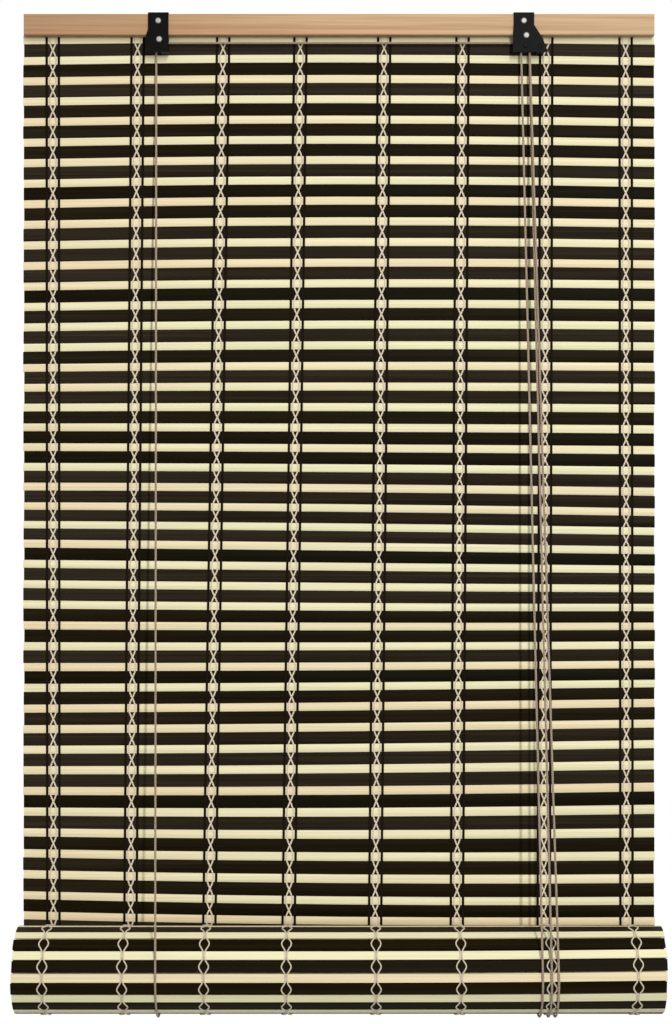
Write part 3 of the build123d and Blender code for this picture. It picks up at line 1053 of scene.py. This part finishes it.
@dataclass
class SlatSet:
    """Equal slats gathered into one mesh, each with its own place and tone."""

    width: float
    layout: Layout
    front_edge: float = 0.0007
    back_edge: float = 0.00025
    length_cuts: int = 5
    bm: bmesh.types.BMesh = field(init=False)
    pattern: bpy.types.Mesh = field(init=False)

    def __post_init__(self) -> None:
        """Make the pattern slat and an empty set."""
        self.pattern = self._pattern()
        self.bm = bmesh.new()
        self.bm.verts.layers.float.new(TONE)

    def _long_edges(self, bm: bmesh.types.BMesh, front: bool) -> list[bmesh.types.BMEdge]:
        """Long edges on the front or the back of the pattern slat.

        Args:
            bm: Mesh of the pattern slat.
            front: Whether the edges of the front are wanted.

        Returns:
            The edges.
        """
        found = []
        for edge in bm.edges:
            ends = [vertex.co for vertex in edge.verts]
            lengthwise = abs(ends[0].x - ends[1].x) > self.layout.blind_width / 2
            if lengthwise and (ends[0].y < 0) == front:
                found.append(edge)
        return found

    def _pattern(self) -> bpy.types.Mesh:
        """One slat at the origin with eased long edges, cut along its length so that it can bow.

        Returns:
            The slat's mesh.
        """
        bm = bmesh.new()
        bmesh.ops.create_cube(bm, size=1.0)
        size = (self.layout.blind_width, self.layout.slat_thickness, self.width)
        bmesh.ops.scale(bm, vec=size, verts=bm.verts)
        for front, offset, segments in ((True, self.front_edge, 2), (False, self.back_edge, 1)):
            bmesh.ops.bevel(
                bm,
                geom=self._long_edges(bm, front),
                offset=offset,
                offset_type="OFFSET",
                affect="EDGES",
                segments=segments,
                profile=0.5,
                material=-1,
            )
        lengthwise = self._long_edges(bm, True) + self._long_edges(bm, False)
        bmesh.ops.subdivide_edges(bm, edges=lengthwise, cuts=self.length_cuts, use_grid_fill=True)
        mesh = bpy.data.meshes.new("slat_pattern")
        bm.to_mesh(mesh)
        bm.free()
        return mesh

    def add(self, place: Matrix, tone: float) -> list[bmesh.types.BMVert]:
        """Add a slat.

        Args:
            place: Where the pattern slat goes.
            tone: Its place on the finish's range of tones.

        Returns:
            The slat's vertices.
        """
        start = len(self.bm.verts)
        self.bm.from_mesh(self.pattern)
        self.bm.verts.ensure_lookup_table()
        added = self.bm.verts[start:]
        bmesh.ops.transform(self.bm, matrix=place, verts=added)
        tones = self.bm.verts.layers.float[TONE]
        for vertex in added:
            vertex[tones] = tone
        return added

    @staticmethod
    def tone(chance: random.Random) -> float:
        """Tone of one slat, drawn at random."""
        return min(1.0, max(0.0, chance.gauss(TONE_MIDDLE, TONE_SPREAD)))

    def warm(self, vertex: bmesh.types.BMVert, share: float) -> None:
        """Move a vertex's tone towards the warm end."""
        vertex[self.bm.verts.layers.float[TONE]] += share

    def mesh(self) -> bpy.types.Mesh:
        """Finished mesh of the set.

        Returns:
            The mesh; the set is used up.
        """
        made = bpy.data.meshes.new("slats")
        bmesh.ops.recalc_face_normals(self.bm, faces=self.bm.faces)
        self.bm.to_mesh(made)
        self.bm.free()
        bpy.data.meshes.remove(self.pattern)
        return made


@dataclass(frozen=True)
class Columns:
    """Sideways places of the woven columns at the top and the foot, as shares of the blind's width."""

    layout: Layout
    shares: tuple[tuple[float, float], ...] = (
        (-0.4538, -0.4528),
        (-0.3192, -0.3312),
        (-0.1835, -0.2065),
        (-0.0610, -0.0807),
        (0.0717, 0.0565),
        (0.1958, 0.1863),
        (0.3285, 0.3243),
        (0.4543, 0.4558),
    )

    def __len__(self) -> int:
        """Count of columns."""
        return len(self.shares)

    def x(self, column: int, z: float) -> float:
        """Sideways place of a column at a height.

        Args:
            column: Number of the column from the left.
            z: The height.

        Returns:
            The place, in metres.
        """
        fall = (self.layout.mat_start - z) / (self.layout.mat_start - self.layout.roll_z)
        top, low = self.shares[column]
        return self.layout.middle_x + self.layout.blind_width * (top + (low - top) * fall)


@dataclass
class Mat:
    """Hanging part of the mat: slats, crossing threads and straight edge threads."""

    layout: Layout
    palette: Palette
    columns: Columns
    drape: Drape
    chance: random.Random
    end_wander: float = 0.0006
    depth_wander: float = 0.00012
    light_ease: float = -0.00025
    dark_ease: float = 0.00115
    left_warmth: float = 0.35
    warm_from: float = 0.3
    thread_radius: float = 0.00080
    thread_flat: float = 0.55
    over_share: float = 0.5
    under_share: float = 0.25
    back_share: float = 0.4
    stitch_reach: float = 0.0031
    bar_reach: float = 0.0005
    diamond_reach: float = 0.0058
    edge_reach: float = 0.0058
    edge_radius: float = 0.00132
    edge_flat: float = 0.35
    edge_share: float = 0.8
    edge_steps: int = 8
    edge_points: tuple[float, ...] = (0, 1 / 3, 2 / 3, 1)
    under_rail_tone: float = 1.15

    def build(self) -> None:
        """Build the upper mat, which stays, and the lower mat, which winds onto the roll."""
        split = self.layout.upper_pairs
        self._slats("upper", range(split), False)
        self._slats("lower", range(split, self.layout.hanging_pairs), True)
        self._threads("upper", range(split), self.layout.hem_top, False)
        self._threads("lower", range(split, self.layout.hanging_pairs), self.layout.mat_split, True)

    def _finish(self, piece: Piece, mesh: bpy.types.Mesh, winds: bool) -> None:
        """Place a piece of the mat, giving the lower mat a mesh of its own.

        Args:
            piece: The piece.
            mesh: Its mesh.
            winds: Whether it is part of the lower mat.
        """
        made = piece.place(mesh, self.palette)
        if winds:
            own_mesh(made)

    def _slats(self, part: str, pairs: range, winds: bool) -> None:
        """Light and dark slats of a stretch of the mat.

        Args:
            part: Name of the stretch.
            pairs: Its pairs of slats.
            winds: Whether it winds onto the roll.
        """
        for kind, width, slot in (
            ("light", self.layout.light_width + self.light_ease, Slot.LIGHT_BAMBOO),
            ("dark", self.layout.dark_width + self.dark_ease, Slot.DARK_BAMBOO),
        ):
            slats = SlatSet(width, self.layout)
            for pair in pairs:
                light = kind == "light"
                height = self.layout.light_middle(pair) if light else self.layout.dark_middle(pair)
                aside = self.chance.uniform(-self.end_wander, self.end_wander)
                deep = self.chance.uniform(-self.depth_wander, self.depth_wander)
                place = (self.layout.middle_x + aside, self.layout.mat_middle + deep, height)
                tone = slats.tone(self.chance)
                if pair == 0 and not light:
                    tone = self.under_rail_tone
                for vertex in slats.add(Matrix.Translation(place), tone):
                    leftness = max(0.0, -vertex.co.x / self.drape.half_width - self.warm_from)
                    slats.warm(vertex, self.left_warmth * leftness)
                    vertex.co.z += self._rise(vertex.co)
            name = f"{part}_{kind}_slats"
            self._finish(Piece(f"{name}_split", Body.HEAD, slot, (name,)), slats.mesh(), winds)

    def _rise(self, place: Vector) -> float:
        """Lift of the draped mat at a place on it."""
        pair = (self.layout.mat_start - place.z) / self.layout.pair_pitch
        return self.drape.rise(place.x, max(0.0, pair))

    def _draped(self, mesh: bpy.types.Mesh, depth: float, flat: float) -> bpy.types.Mesh:
        """Press threads flat against the mat and let them follow its drape.

        Args:
            mesh: Round threads.
            depth: Depth of the plane that they lie in.
            flat: Share of their thickness that is left.

        Returns:
            The same mesh.
        """
        press = Matrix.Diagonal((1, flat, 1, 1))
        mesh.transform(Matrix.Translation((0, depth, 0)) @ press @ Matrix.Translation((0, -depth, 0)))
        for vertex in mesh.vertices:
            vertex.co.z += self._rise(vertex.co)
        return mesh

    def _front_route(self, column: int, side: int, pairs: range, top: float) -> list[Point]:
        """Thread that stands apart over light slats and crosses its neighbour over dark ones.

        Args:
            column: Number of the column from the left.
            side: -1 or 1, for one thread or its neighbour.
            pairs: Pairs of slats that it passes.
            top: Height that it starts from.

        Returns:
            The thread's control points.
        """
        share = self.over_share if side > 0 else self.under_share
        depth = self.layout.mat_front - self.thread_radius * share
        route = []
        if top > self.layout.mat_start:
            route.append((self.columns.x(column, top) - side * self.stitch_reach, depth, top))
        else:
            route.append((self.columns.x(column, top), depth, top))
        hold = self.layout.light_width / 2
        for pair in pairs:
            lean = side * self.stitch_reach * (1 if pair % 2 else -1)
            middle = self.layout.light_middle(pair)
            for height in (middle + hold, middle - hold):
                route.append((self.columns.x(column, height) + lean, depth, height))
        low = self.layout.mat_start - (pairs[-1] + 1) * self.layout.pair_pitch
        low += self.layout.slat_gap + self.layout.dark_width / 2
        route.append((self.columns.x(column, low), depth, low))
        return route

    def _back_route(self, column: int, side: int, pairs: range, top: float) -> list[Point]:
        """Thread that meets its neighbour over light slats and stands apart over dark ones.

        Args:
            column: Number of the column from the left.
            side: -1 or 1, for one thread or its neighbour.
            pairs: Pairs of slats that it passes.
            top: Height that it starts from.

        Returns:
            The thread's control points.
        """
        depth = self.layout.mat_back + self.thread_radius * self.back_share
        hold = self.layout.light_width / 2
        route = [(self.columns.x(column, top) + side * self.bar_reach, depth, top)]
        for pair in pairs:
            middle = self.layout.light_middle(pair)
            for height in (middle + hold, middle - hold):
                route.append((self.columns.x(column, height) + side * self.bar_reach, depth, height))
            height = self.layout.dark_middle(pair)
            route.append((self.columns.x(column, height) + side * self.diamond_reach, depth, height))
        low = self.layout.mat_start - (pairs[-1] + 1) * self.layout.pair_pitch
        route.append((self.columns.x(column, low) + side * self.bar_reach, depth, low))
        return route

    def _threads(self, part: str, pairs: range, top: float, winds: bool) -> None:
        """Crossing threads in front and behind, and the dark edge threads.

        Args:
            part: Name of the stretch.
            pairs: Its pairs of slats.
            top: Height that the threads start from.
            winds: Whether it winds onto the roll.
        """
        front = []
        back = []
        edges = []
        low = self.layout.mat_start - (pairs[-1] + 1) * self.layout.pair_pitch
        start = self.layout.dark_middle(pairs[0] - 1) if winds else top
        edge_depth = self.layout.mat_front - self.edge_radius * self.edge_flat * self.edge_share
        heights = [top + (low - top) * share for share in self.edge_points]
        for column in range(len(self.columns)):
            for side in (-1, 1):
                front.append(self._front_route(column, side, pairs, start))
                back.append(self._back_route(column, side, pairs, top))
                aside = side * self.edge_reach
                edges.append([(self.columns.x(column, z) + aside, edge_depth, z) for z in heights])
        weave = bmesh.new()
        for routes, depth in ((front, self.layout.mat_front), (back, self.layout.mat_back)):
            mesh = self._draped(Strand.tubes(routes, self.thread_radius), depth, self.thread_flat)
            weave.from_mesh(mesh)
            bpy.data.meshes.remove(mesh)
        joined = bpy.data.meshes.new("weave")
        weave.to_mesh(joined)
        weave.free()
        nodes = (f"{part}_weave",)
        piece = Piece(f"{part}_weave_threads", Body.HEAD, Slot.LIGHT_THREAD, nodes, ROUND_ANGLE)
        self._finish(piece, joined, winds)
        tubes = Strand.tubes(edges, self.edge_radius, steps=self.edge_steps)
        straight = self._draped(tubes, edge_depth, self.edge_flat)
        nodes = (f"{part}_edge_threads",)
        piece = Piece(f"{part}_edge_yarns", Body.HEAD, Slot.DARK_THREAD, nodes, ROUND_ANGLE)
        self._finish(piece, straight, winds)


@dataclass
class Roll:
    """Rest of the mat wound up in front, its back face outwards."""

    layout: Layout
    palette: Palette
    columns: Columns
    chance: random.Random
    end_wander: float = 0.0006
    twist: float = 0.055
    thread_radius: float = 0.00072
    thread_rise: float = 0.00180
    bar_reach: float = 0.0005
    diamond_reach: float = 0.0058
    bend_radius: float = 0.0370
    first_angle: float = math.radians(0.8)
    crown_start: float = math.radians(205)
    crown_run: float = math.radians(45)
    crown_rise: float = 0.0012
    crown_spread: float = math.radians(2.5)
    round_slats: int = 18
    settling_slats: int = 7

    def __post_init__(self) -> None:
        """Work out the turns: angle, radius and lean of each slat along the spiral."""
        spiral = self._spiral()
        placed = []
        for slat, (angle, radius) in enumerate(spiral):
            even = self.first_angle + slat * self.layout.pair_pitch / 2 / self.bend_radius
            crown = self._ease((even - self.crown_start) / self.crown_run)
            loose_angle = even + self.crown_spread * crown
            loose_radius = self.layout.roll_radius + self.crown_rise * crown
            share = self._ease((slat - self.round_slats) / self.settling_slats)
            settled_angle = loose_angle + (angle - loose_angle) * share
            placed.append((settled_angle, loose_radius + (radius - loose_radius) * share))
        self.turns: list[tuple[float, float, float]] = []
        for slat, (angle, radius) in enumerate(placed):
            before = placed[max(0, slat - 1)]
            after = placed[min(len(placed) - 1, slat + 1)]
            slope = (before[1] - after[1]) / ((after[0] - before[0]) * radius)
            self.turns.append((angle, radius, angle + math.atan(slope)))

    @staticmethod
    def _ease(share: float) -> float:
        """Smooth step from 0 to 1."""
        share = min(1.0, max(0.0, share))
        return share * share * (3 - 2 * share)

    def _spiral(self) -> list[tuple[float, float]]:
        """Angle and radius of each slat on an even spiral that fills the roll.

        Returns:
            Angle in radians and radius in metres of each slat, from the outside in.
        """
        section = math.pi * (self.layout.roll_radius**2 - self.layout.roll_core**2)
        first = self.layout.light_width / 2 - self.layout.first_slat_rise
        pitch = self.layout.pair_pitch
        pairs = int((section / self.layout.turn_spacing - first) / pitch + 0.5)
        lead = section / (first + (pairs - 0.5) * pitch)
        turns = []
        for slat in range(2 * pairs):
            wound = first + slat * pitch / 2
            radius = math.sqrt(self.layout.roll_radius**2 - lead * wound / math.pi)
            turns.append(((self.layout.roll_radius - radius) * 2 * math.pi / lead, radius))
        return turns

    def build(self) -> None:
        """Build the wound slats and the threads around the outer turn."""
        for kind, width, slot, start in (
            ("light", self.layout.light_width, Slot.LIGHT_BAMBOO, 0),
            ("dark", self.layout.dark_width, Slot.DARK_BAMBOO, 1),
        ):
            slats = SlatSet(width, self.layout)
            for angle, radius, lean in self.turns[start::2]:
                shift = self.layout.middle_x + self.chance.uniform(-self.end_wander, self.end_wander)
                tone = slats.tone(self.chance)
                middle = Vector((shift, *self._at(angle, radius)))
                place = Matrix.Translation(middle) @ Matrix.Rotation(-lean, 4, "X")
                slats.add(place, tone)
            name = f"roll_{kind}_slats"
            mesh = self._twisted(slats.mesh())
            Piece(f"{name}_wound", Body.ROLL, slot, (name,)).place(mesh, self.palette)
        columns = range(len(self.columns))
        routes = [self._route(column, side) for column in columns for side in (-1, 1)]
        threads = self._twisted(Strand.tubes(routes, self.thread_radius))
        nodes = ("roll_weave",)
        piece = Piece("roll_weave_threads", Body.ROLL, Slot.LIGHT_THREAD, nodes, ROUND_ANGLE)
        piece.place(threads, self.palette)

    def _at(self, angle: float, radius: float) -> tuple[float, float]:
        """Depth and height of a point around the roll."""
        across = self.layout.roll_y + radius * math.cos(angle)
        return across, self.layout.roll_z - radius * math.sin(angle)

    def _twisted(self, mesh: bpy.types.Mesh) -> bpy.types.Mesh:
        """Wind the right end a little further, as rolling by hand leaves it.

        Args:
            mesh: A mesh of the roll.

        Returns:
            The same mesh.
        """
        for vertex in mesh.vertices:
            share = max(0.0, vertex.co.x / (self.layout.blind_width / 2))
            turn = -self.twist * share * share
            y = vertex.co.y - self.layout.roll_y
            z = vertex.co.z - self.layout.roll_z
            vertex.co.y = self.layout.roll_y + y * math.cos(turn) - z * math.sin(turn)
            vertex.co.z = self.layout.roll_z + y * math.sin(turn) + z * math.cos(turn)
        return mesh

    def _route(self, column: int, side: int) -> list[Point]:
        """Thread around the outer turn: together over light slats, apart over dark ones.

        Args:
            column: Number of the column from the left.
            side: -1 or 1, for one thread or its neighbour.

        Returns:
            The thread's control points.
        """
        middle = self.columns.x(column, self.layout.roll_z)
        route = []
        for number, (angle, radius, _) in enumerate(self.turns):
            if angle > 2 * math.pi:
                break
            outside = radius + self.thread_rise
            if number % 2:
                route.append((middle + side * self.diamond_reach, *self._at(angle, outside)))
            else:
                half = self.layout.light_width / 2 / radius
                route.append((middle + side * self.bar_reach, *self._at(angle - half, outside)))
                route.append((middle + side * self.bar_reach, *self._at(angle + half, outside)))
        return route


@dataclass(frozen=True)
class CordRun:
    """Where one cord hangs: top at its sheave groove, foot at the roll."""

    name: str
    top_x: float
    groove_y: float
    foot_x: float


@dataclass
class Cords:
    """Lift cords and pull cords, with the spare length of the pull cords tied up behind the mat."""

    layout: Layout
    palette: Palette
    rope: Rope = field(default_factory=Rope)
    coil_radius: float = 0.0130
    coil_step: float = 0.0022
    coil_half_band: float = 1.5
    coil_layers: tuple[int, ...] = (36, 36, 36, 28)
    coil_gap: float = 0.0023
    coil_entry: tuple[tuple[float, float], ...] = ((0.0110, 0.0), (0.0090, 0.0005), (0.0088, 0.0016))
    exit_growth: tuple[float, float] = (0.0003, 0.0009)
    exit_rise: float = 0.0013
    exit_back: float = 0.0003
    coil_rise: float = 0.0400
    coil_spacing: float = 0.0366
    coil_corner: float = math.radians(30)
    knot_depth: float = 0.00584
    knot_size: float = 0.00088
    knot_spread: float = 0.62
    knot_thin: float = 0.8
    knot_corners: int = 18
    eye_knot_drop: float = 0.0012
    tie_radius: float = 0.00045
    tie_gap: float = 0.0003
    tie_depth: float = 0.0117
    tie_left: float = 0.1748
    tie_right: float = 0.0050
    tie_ease: float = 0.0016
    tie_lifts: tuple[float, ...] = (-0.0013, 0.0, 0.0013)
    joint: float = 0.00015
    lead_in: float = 0.0132
    stub: float = 0.0095
    landing: float = 0.0140
    loop_corners: int = 6
    taut_steps: int = 24
    bent_steps: int = 12
    cross_steps: int = 40

    def build(self) -> None:
        """Build every stretch of cord."""
        layout = self.layout
        rear = layout.rear_groove_y
        near = layout.front_groove_y
        left_x = layout.left_sheave_x - layout.pitch_radius
        right_x = layout.right_sheave_x - layout.pitch_radius
        pull_x = layout.right_sheave_x + layout.pitch_radius
        left = CordRun("left_front_cord", left_x, rear, layout.left_lift_x)
        right = CordRun("right_front_cord", right_x, near, layout.right_lift_x)
        left_pull = CordRun("left_pull_cord", pull_x, rear, layout.left_pull_x)
        right_pull = CordRun("right_pull_cord", pull_x, near, layout.right_pull_x)
        self._front(left)
        self._front(right)
        self._lift_side("left", left, -layout.eye_x)
        self._lift_side("right", right, layout.eye_x)
        self._over_sheaves(left, right, left_pull, right_pull)
        ties = self._ties((left_pull, right_pull))
        for number, (side, run) in enumerate((("left", left_pull), ("right", right_pull))):
            strand = self._front(run)
            line = self._straight(self._top(run), self._foot(run))
            self._pull_end(side, run, self._coil_height(number))

    @staticmethod
    def _length(line: Sequence[Vector]) -> float:
        """Length of a line of points."""
        return sum((second - first).length for first, second in zip(line, line[1:]))

    def _coil_height(self, number: int) -> float:
        """Height of the middle of a pull cord's coil."""
        return self.layout.roll_z + self.coil_rise + number * self.coil_spacing

    def _straight(self, top: Point, foot: Point) -> list[Vector]:
        """Evenly spaced points of a taut run, a hair short of both its ends.

        Args:
            top: Upper end of the run.
            foot: Lower end of the run.

        Returns:
            The points, from the top down.
        """
        start = Vector(top)
        end = Vector(foot)
        along = (end - start).normalized()
        start = start + along * self.joint
        end = end - along * self.joint
        route = [start, start + along * self.lead_in, end - along * self.lead_in, end]
        line = Strand.line([tuple(point) for point in route], self.taut_steps)
        return Strand.even(line, self.rope.spacing)

    def _lay(
        self, piece: Piece, route: Sequence[Point], steps: int
    ) -> tuple[bpy.types.Object, list[Vector]]:
        """Rope along a route's smooth line.

        Args:
            piece: The piece to make.
            route: Control points of the line.
            steps: Points for each stretch between control points.

        Returns:
            The new object and the line that it follows.
        """
        line = Strand.even(Strand.line(route, steps), self.rope.spacing)
        return piece.place(Strand.rope(line, self.rope), self.palette), line

    @staticmethod
    def _piece(name: str, body: Body, *nodes: str) -> Piece:
        """Piece of tan cord."""
        return Piece(name, body, Slot.TAN_CORD, nodes, ROUND_ANGLE)

    def _top(self, run: CordRun) -> Point:
        """Point just below the sheave from which a cord runs freely."""
        start, end = self._ends(run)
        return tuple(start + (end - start).normalized() * self.stub)

    def _foot(self, run: CordRun) -> Point:
        """Point just above the roll to which a cord runs freely."""
        start, end = self._ends(run)
        return tuple(end - (end - start).normalized() * self.landing)

    def _ends(self, run: CordRun) -> tuple[Vector, Vector]:
        """Points where a cord leaves its sheave and touches the roll."""
        start = Vector((run.top_x, run.groove_y, self.layout.sheave_z))
        return start, Vector(self.layout.front_point(run.foot_x, run.groove_y))

    def _front(self, run: CordRun) -> bpy.types.Object:
        """Taut strand in front of the mat, with a mesh of its own.

        Args:
            run: The cord.

        Returns:
            The new object.
        """
        top = self._top(run)
        foot = self._foot(run)
        mesh = Strand.rope(self._straight(top, foot), self.rope)
        made = self._piece(f"{run.name}_rope", Body.HEAD, run.name).place(mesh, self.palette)
        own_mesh(made)
        return made

    def _under_roll(self, run: CordRun) -> list[Point]:
        """Control points of a cord round under the roll, from the front to the back.

        Args:
            run: The cord.

        Returns:
            The control points.
        """
        layout = self.layout
        start = layout.front_angle(run.groove_y)
        step = (2 * math.pi - start) / self.loop_corners
        outer = layout.loop_radius / math.cos(step / 2)
        route = [self._foot(run), layout.front_point(run.foot_x, run.groove_y)]
        for corner in range(self.loop_corners):
            angle = start + (corner + 0.5) * step
            across = layout.roll_y + outer * math.cos(angle)
            route.append((run.foot_x, across, layout.roll_z + outer * math.sin(angle)))
        route.append((run.foot_x, layout.roll_y + layout.loop_radius, layout.roll_z))
        return route

    def _lift_side(self, side: str, run: CordRun, eye_x: float) -> None:
        """Loop of a lift cord under the roll, its strand behind the mat and its knot at the eye.

        Args:
            side: Side of the blind.
            run: The cord.
            eye_x: Sideways place of its eye.
        """
        layout = self.layout
        route = self._under_roll(run)
        name = f"{side}_lift_loop"
        self._lay(self._piece(f"{name}_rope", Body.SLING, name), route, self.bent_steps)
        top = (eye_x, layout.eye_y, layout.eye_foot)
        name = f"{side}_back_cord"
        mesh = Strand.rope(self._straight(top, route[-1]), self.rope)
        made = self._piece(f"{name}_rope", Body.HEAD, name).place(mesh, self.palette)
        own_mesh(made)
        knot_z = layout.eye_foot - self.eye_knot_drop
        self._knot(f"{side}_eye_knot", Body.HEAD, (eye_x, layout.eye_y, knot_z))

    def _arc_corners(self, middle_x: float, depth: float, first: int, last: int) -> list[Point]:
        """Control points around a sheave, in eighths of a turn from its left side over its top.

        Args:
            middle_x: Sideways place of the sheave.
            depth: Depth of its groove.
            first: First eighth.
            last: Eighth to stop before.

        Returns:
            The control points.
        """
        eighth = math.pi / 4
        outer = self.layout.pitch_radius / math.cos(eighth / 2)
        points = []
        for corner in range(first, last):
            angle = math.pi - (corner + 0.5) * eighth
            height = self.layout.sheave_z + outer * math.sin(angle)
            points.append((middle_x + outer * math.cos(angle), depth, height))
        return points

    def _over_sheaves(
        self, left: CordRun, right: CordRun, left_pull: CordRun, right_pull: CordRun
    ) -> None:
        """Cross cord from sheave to sheave, and the right lift cord over its own groove.

        Args:
            left: Left lift cord.
            right: Right lift cord.
            left_pull: Pull cord that the left lift cord runs on as.
            right_pull: Pull cord that the right lift cord runs on as.
        """
        layout = self.layout
        crown = layout.sheave_z + layout.pitch_radius
        depth = layout.rear_groove_y
        left_x = layout.left_sheave_x
        right_x = layout.right_sheave_x
        route = [self._top(left), (left.top_x, depth, layout.sheave_z)]
        route += self._arc_corners(left_x, depth, 0, 2)
        route += [(left_x, depth, crown), (left_x + self.lead_in, depth, crown)]
        route += [(right_x - self.lead_in, depth, crown), (right_x, depth, crown)]
        route += self._arc_corners(right_x, depth, 2, 4)
        route += [(left_pull.top_x, depth, layout.sheave_z), self._top(left_pull)]
        self._lay(self._piece("cross_cord_rope", Body.HEAD, "cross_cord"), route, self.cross_steps)
        depth = layout.front_groove_y
        route = [self._top(right), (right.top_x, depth, layout.sheave_z)]
        route += self._arc_corners(right_x, depth, 0, 4)
        route += [(right_pull.top_x, depth, layout.sheave_z), self._top(right_pull)]
        piece = self._piece("right_sheave_cord_rope", Body.HEAD, "right_sheave_cord")
        self._lay(piece, route, self.bent_steps)

    def _coil_turns(self) -> list[tuple[float, float]]:
        """Radius and depth of a coil's corners: the way in, flat spirals and the way to the knot.

        Returns:
            A radius and a depth for each corner.
        """
        inner = self.coil_radius - self.coil_half_band * self.coil_step
        outer = self.coil_radius + self.coil_half_band * self.coil_step
        front = self.layout.roll_y + self.layout.loop_radius
        level = front + self.coil_gap
        full = self.coil_layers[0]
        turns = [(self.coil_radius, front)]
        turns += [(radius, front + depth) for radius, depth in self.coil_entry]
        for layer, steps in enumerate(self.coil_layers):
            start, end = (inner, outer) if layer % 2 == 0 else (outer, inner)
            for step in range(steps + 1):
                turns.append((start + (end - start) * step / full, level))
            turns.append((turns[-1][0], level + self.coil_step / 2))
            level += self.coil_step
        radius, level = turns[-1]
        near, far = self.exit_growth
        turns.append((radius + near, level + self.exit_rise))
        turns.append((radius + far, self.knot_depth - self.exit_back))
        turns.append((self.coil_radius, self.knot_depth))
        return turns

    def _coil_route(self, run: CordRun, coil_z: float) -> list[Point]:
        """Control points of a tied coil, ending in the knot at its right side.

        Args:
            run: The cord that is coiled.
            coil_z: Height of the coil's middle.

        Returns:
            The points, from the coil's left side on.
        """
        turns = self._coil_turns()
        middle_x = run.foot_x + self.coil_radius
        grow = 1 / math.cos(self.coil_corner / 2)
        last = len(turns) - 1
        route = []
        for step, (radius, depth) in enumerate(turns):
            angle = math.pi - self.coil_corner * step
            reach = radius * (1.0 if step in (0, last) else grow)
            route.append((middle_x + reach * math.cos(angle), depth, coil_z + reach * math.sin(angle)))
        return route

    def _pull_end(
        self, side: str, run: CordRun, coil_z: float
    ) -> None:
        """Pull cord from the roll's front round to its coil and knot.

        Args:
            side: Side that the cord lifts.
            run: The cord.
            coil_z: Height of the coil's middle.
        """
        route = self._under_roll(run)
        back = route[-1]
        route.append((back[0], back[1], back[2] + self.lead_in))
        route.append((back[0], back[1], coil_z - self.lead_in))
        coil = self._coil_route(run, coil_z)
        route += coil
        nodes = (f"{side}_pull_loop", f"{side}_pull_coil")
        piece = self._piece(f"{side}_pull_end_rope", Body.SLING, *nodes)
        made, line = self._lay(piece, route, self.bent_steps)
        knot = self._knot(f"{side}_pull_knot", Body.SLING, coil[-1], "pull_knots")

    def _knot(self, name: str, body: Body, place: Point, *nodes: str) -> bpy.types.Object:
        """Small pulled overhand knot.

        Args:
            name: Name of the piece.
            body: Body that it rides on.
            place: Its middle.
            nodes: Solids that it stands for.

        Returns:
            The new object.
        """
        points = []
        for step in range(self.knot_corners):
            turn = 2 * math.pi * step / self.knot_corners
            x = (math.sin(turn) + 2 * math.sin(2 * turn)) * self.knot_size * self.knot_spread
            z = (math.cos(turn) - 2 * math.cos(2 * turn)) * self.knot_size * self.knot_spread
            y = -math.sin(3 * turn) * self.knot_size
            points.append((place[0] + x, place[1] + y, place[2] + z))
        radius = self.rope.radius * self.knot_thin
        mesh = Strand.tubes([points], radius, steps=4, sides=2, cyclic=True)
        return self._piece(name, body, *nodes).place(mesh, self.palette)

    def _ties(self, runs: Sequence[CordRun]) -> bpy.types.Object:
        """Thread wound three times around each coil and the strand behind the mat.

        Args:
            runs: The coiled cords.

        Returns:
            The new object.
        """
        layout = self.layout
        front = layout.roll_y + layout.loop_radius - self.rope.radius - self.tie_gap
        back = front + self.tie_depth
        low = self.tie_left
        ease = self.tie_ease
        wraps = []
        for number, run in enumerate(runs):
            high = run.foot_x + self.tie_right
            corners = (
                (low, front + ease),
                (low + ease, front),
                (high - ease, front),
                (high, front + ease),
                (high, back - ease),
                (high - ease, back),
                (low + ease, back),
                (low, back - ease),
            )
            for lift in self.tie_lifts:
                height = self._coil_height(number) + lift
                wraps.append([(x, y, height) for x, y in corners])
        mesh = Strand.tubes(wraps, self.tie_radius, steps=4, cyclic=True)
        return self._piece("coil_tie_wraps", Body.SLING, "coil_ties").place(mesh, self.palette)


class Hardware:
    """Rail, straps, pulley cage, cord lock and their fastenings, which keep their solids."""

    FINISHES: dict[str, tuple[str, ...]] = {
        "rail_wood": ("head_rail", "bottom_dowel"),
        "black_steel": (
            "left_hanger_strap",
            "right_hanger_strap",
            "left_pulley_cage",
            "lock_frame",
            "left_sheave_pin",
            "right_sheave_pin",
            "lock_cam_pin",
        ),
        "bright_steel": ("upper_bracket_screws", "lock_frame_rivet", "pulley_cage_rivet"),
        "sheave_plastic": ("left_sheave", "right_sheave"),
        "cam_steel": ("lock_cam",),
        "tack_steel": ("hem_tacks", "cord_eyes"),
        "dark_bamboo": ("hem_slat",),
    }

    def __init__(self, palette: Palette) -> None:
        """Keep the materials to dress with."""
        self.palette = palette

    def build(self) -> None:
        """Paint each solid with its finish."""
        for finish, names in self.FINISHES.items():
            for name in names:
                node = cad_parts[name]
                node.data.materials.clear()
                node.data.materials.append(self.palette.of(finish))
                LOG.info("%s: %s", name, finish)


def main() -> None:
    """Build the studio and the blind."""
    logging.basicConfig(level=logging.INFO, format="%(name)s: %(message)s")
    chance = random.Random(SEED)
    layout = Layout()
    palette = Palette()
    columns = Columns(layout)
    Studio().build()
    Hardware(palette).build()
    Mat(layout, palette, columns, Drape(), chance).build()
    Roll(layout, palette, columns, chance).build()
    Cords(layout, palette).build()


if __name__ == "__main__":
    main()
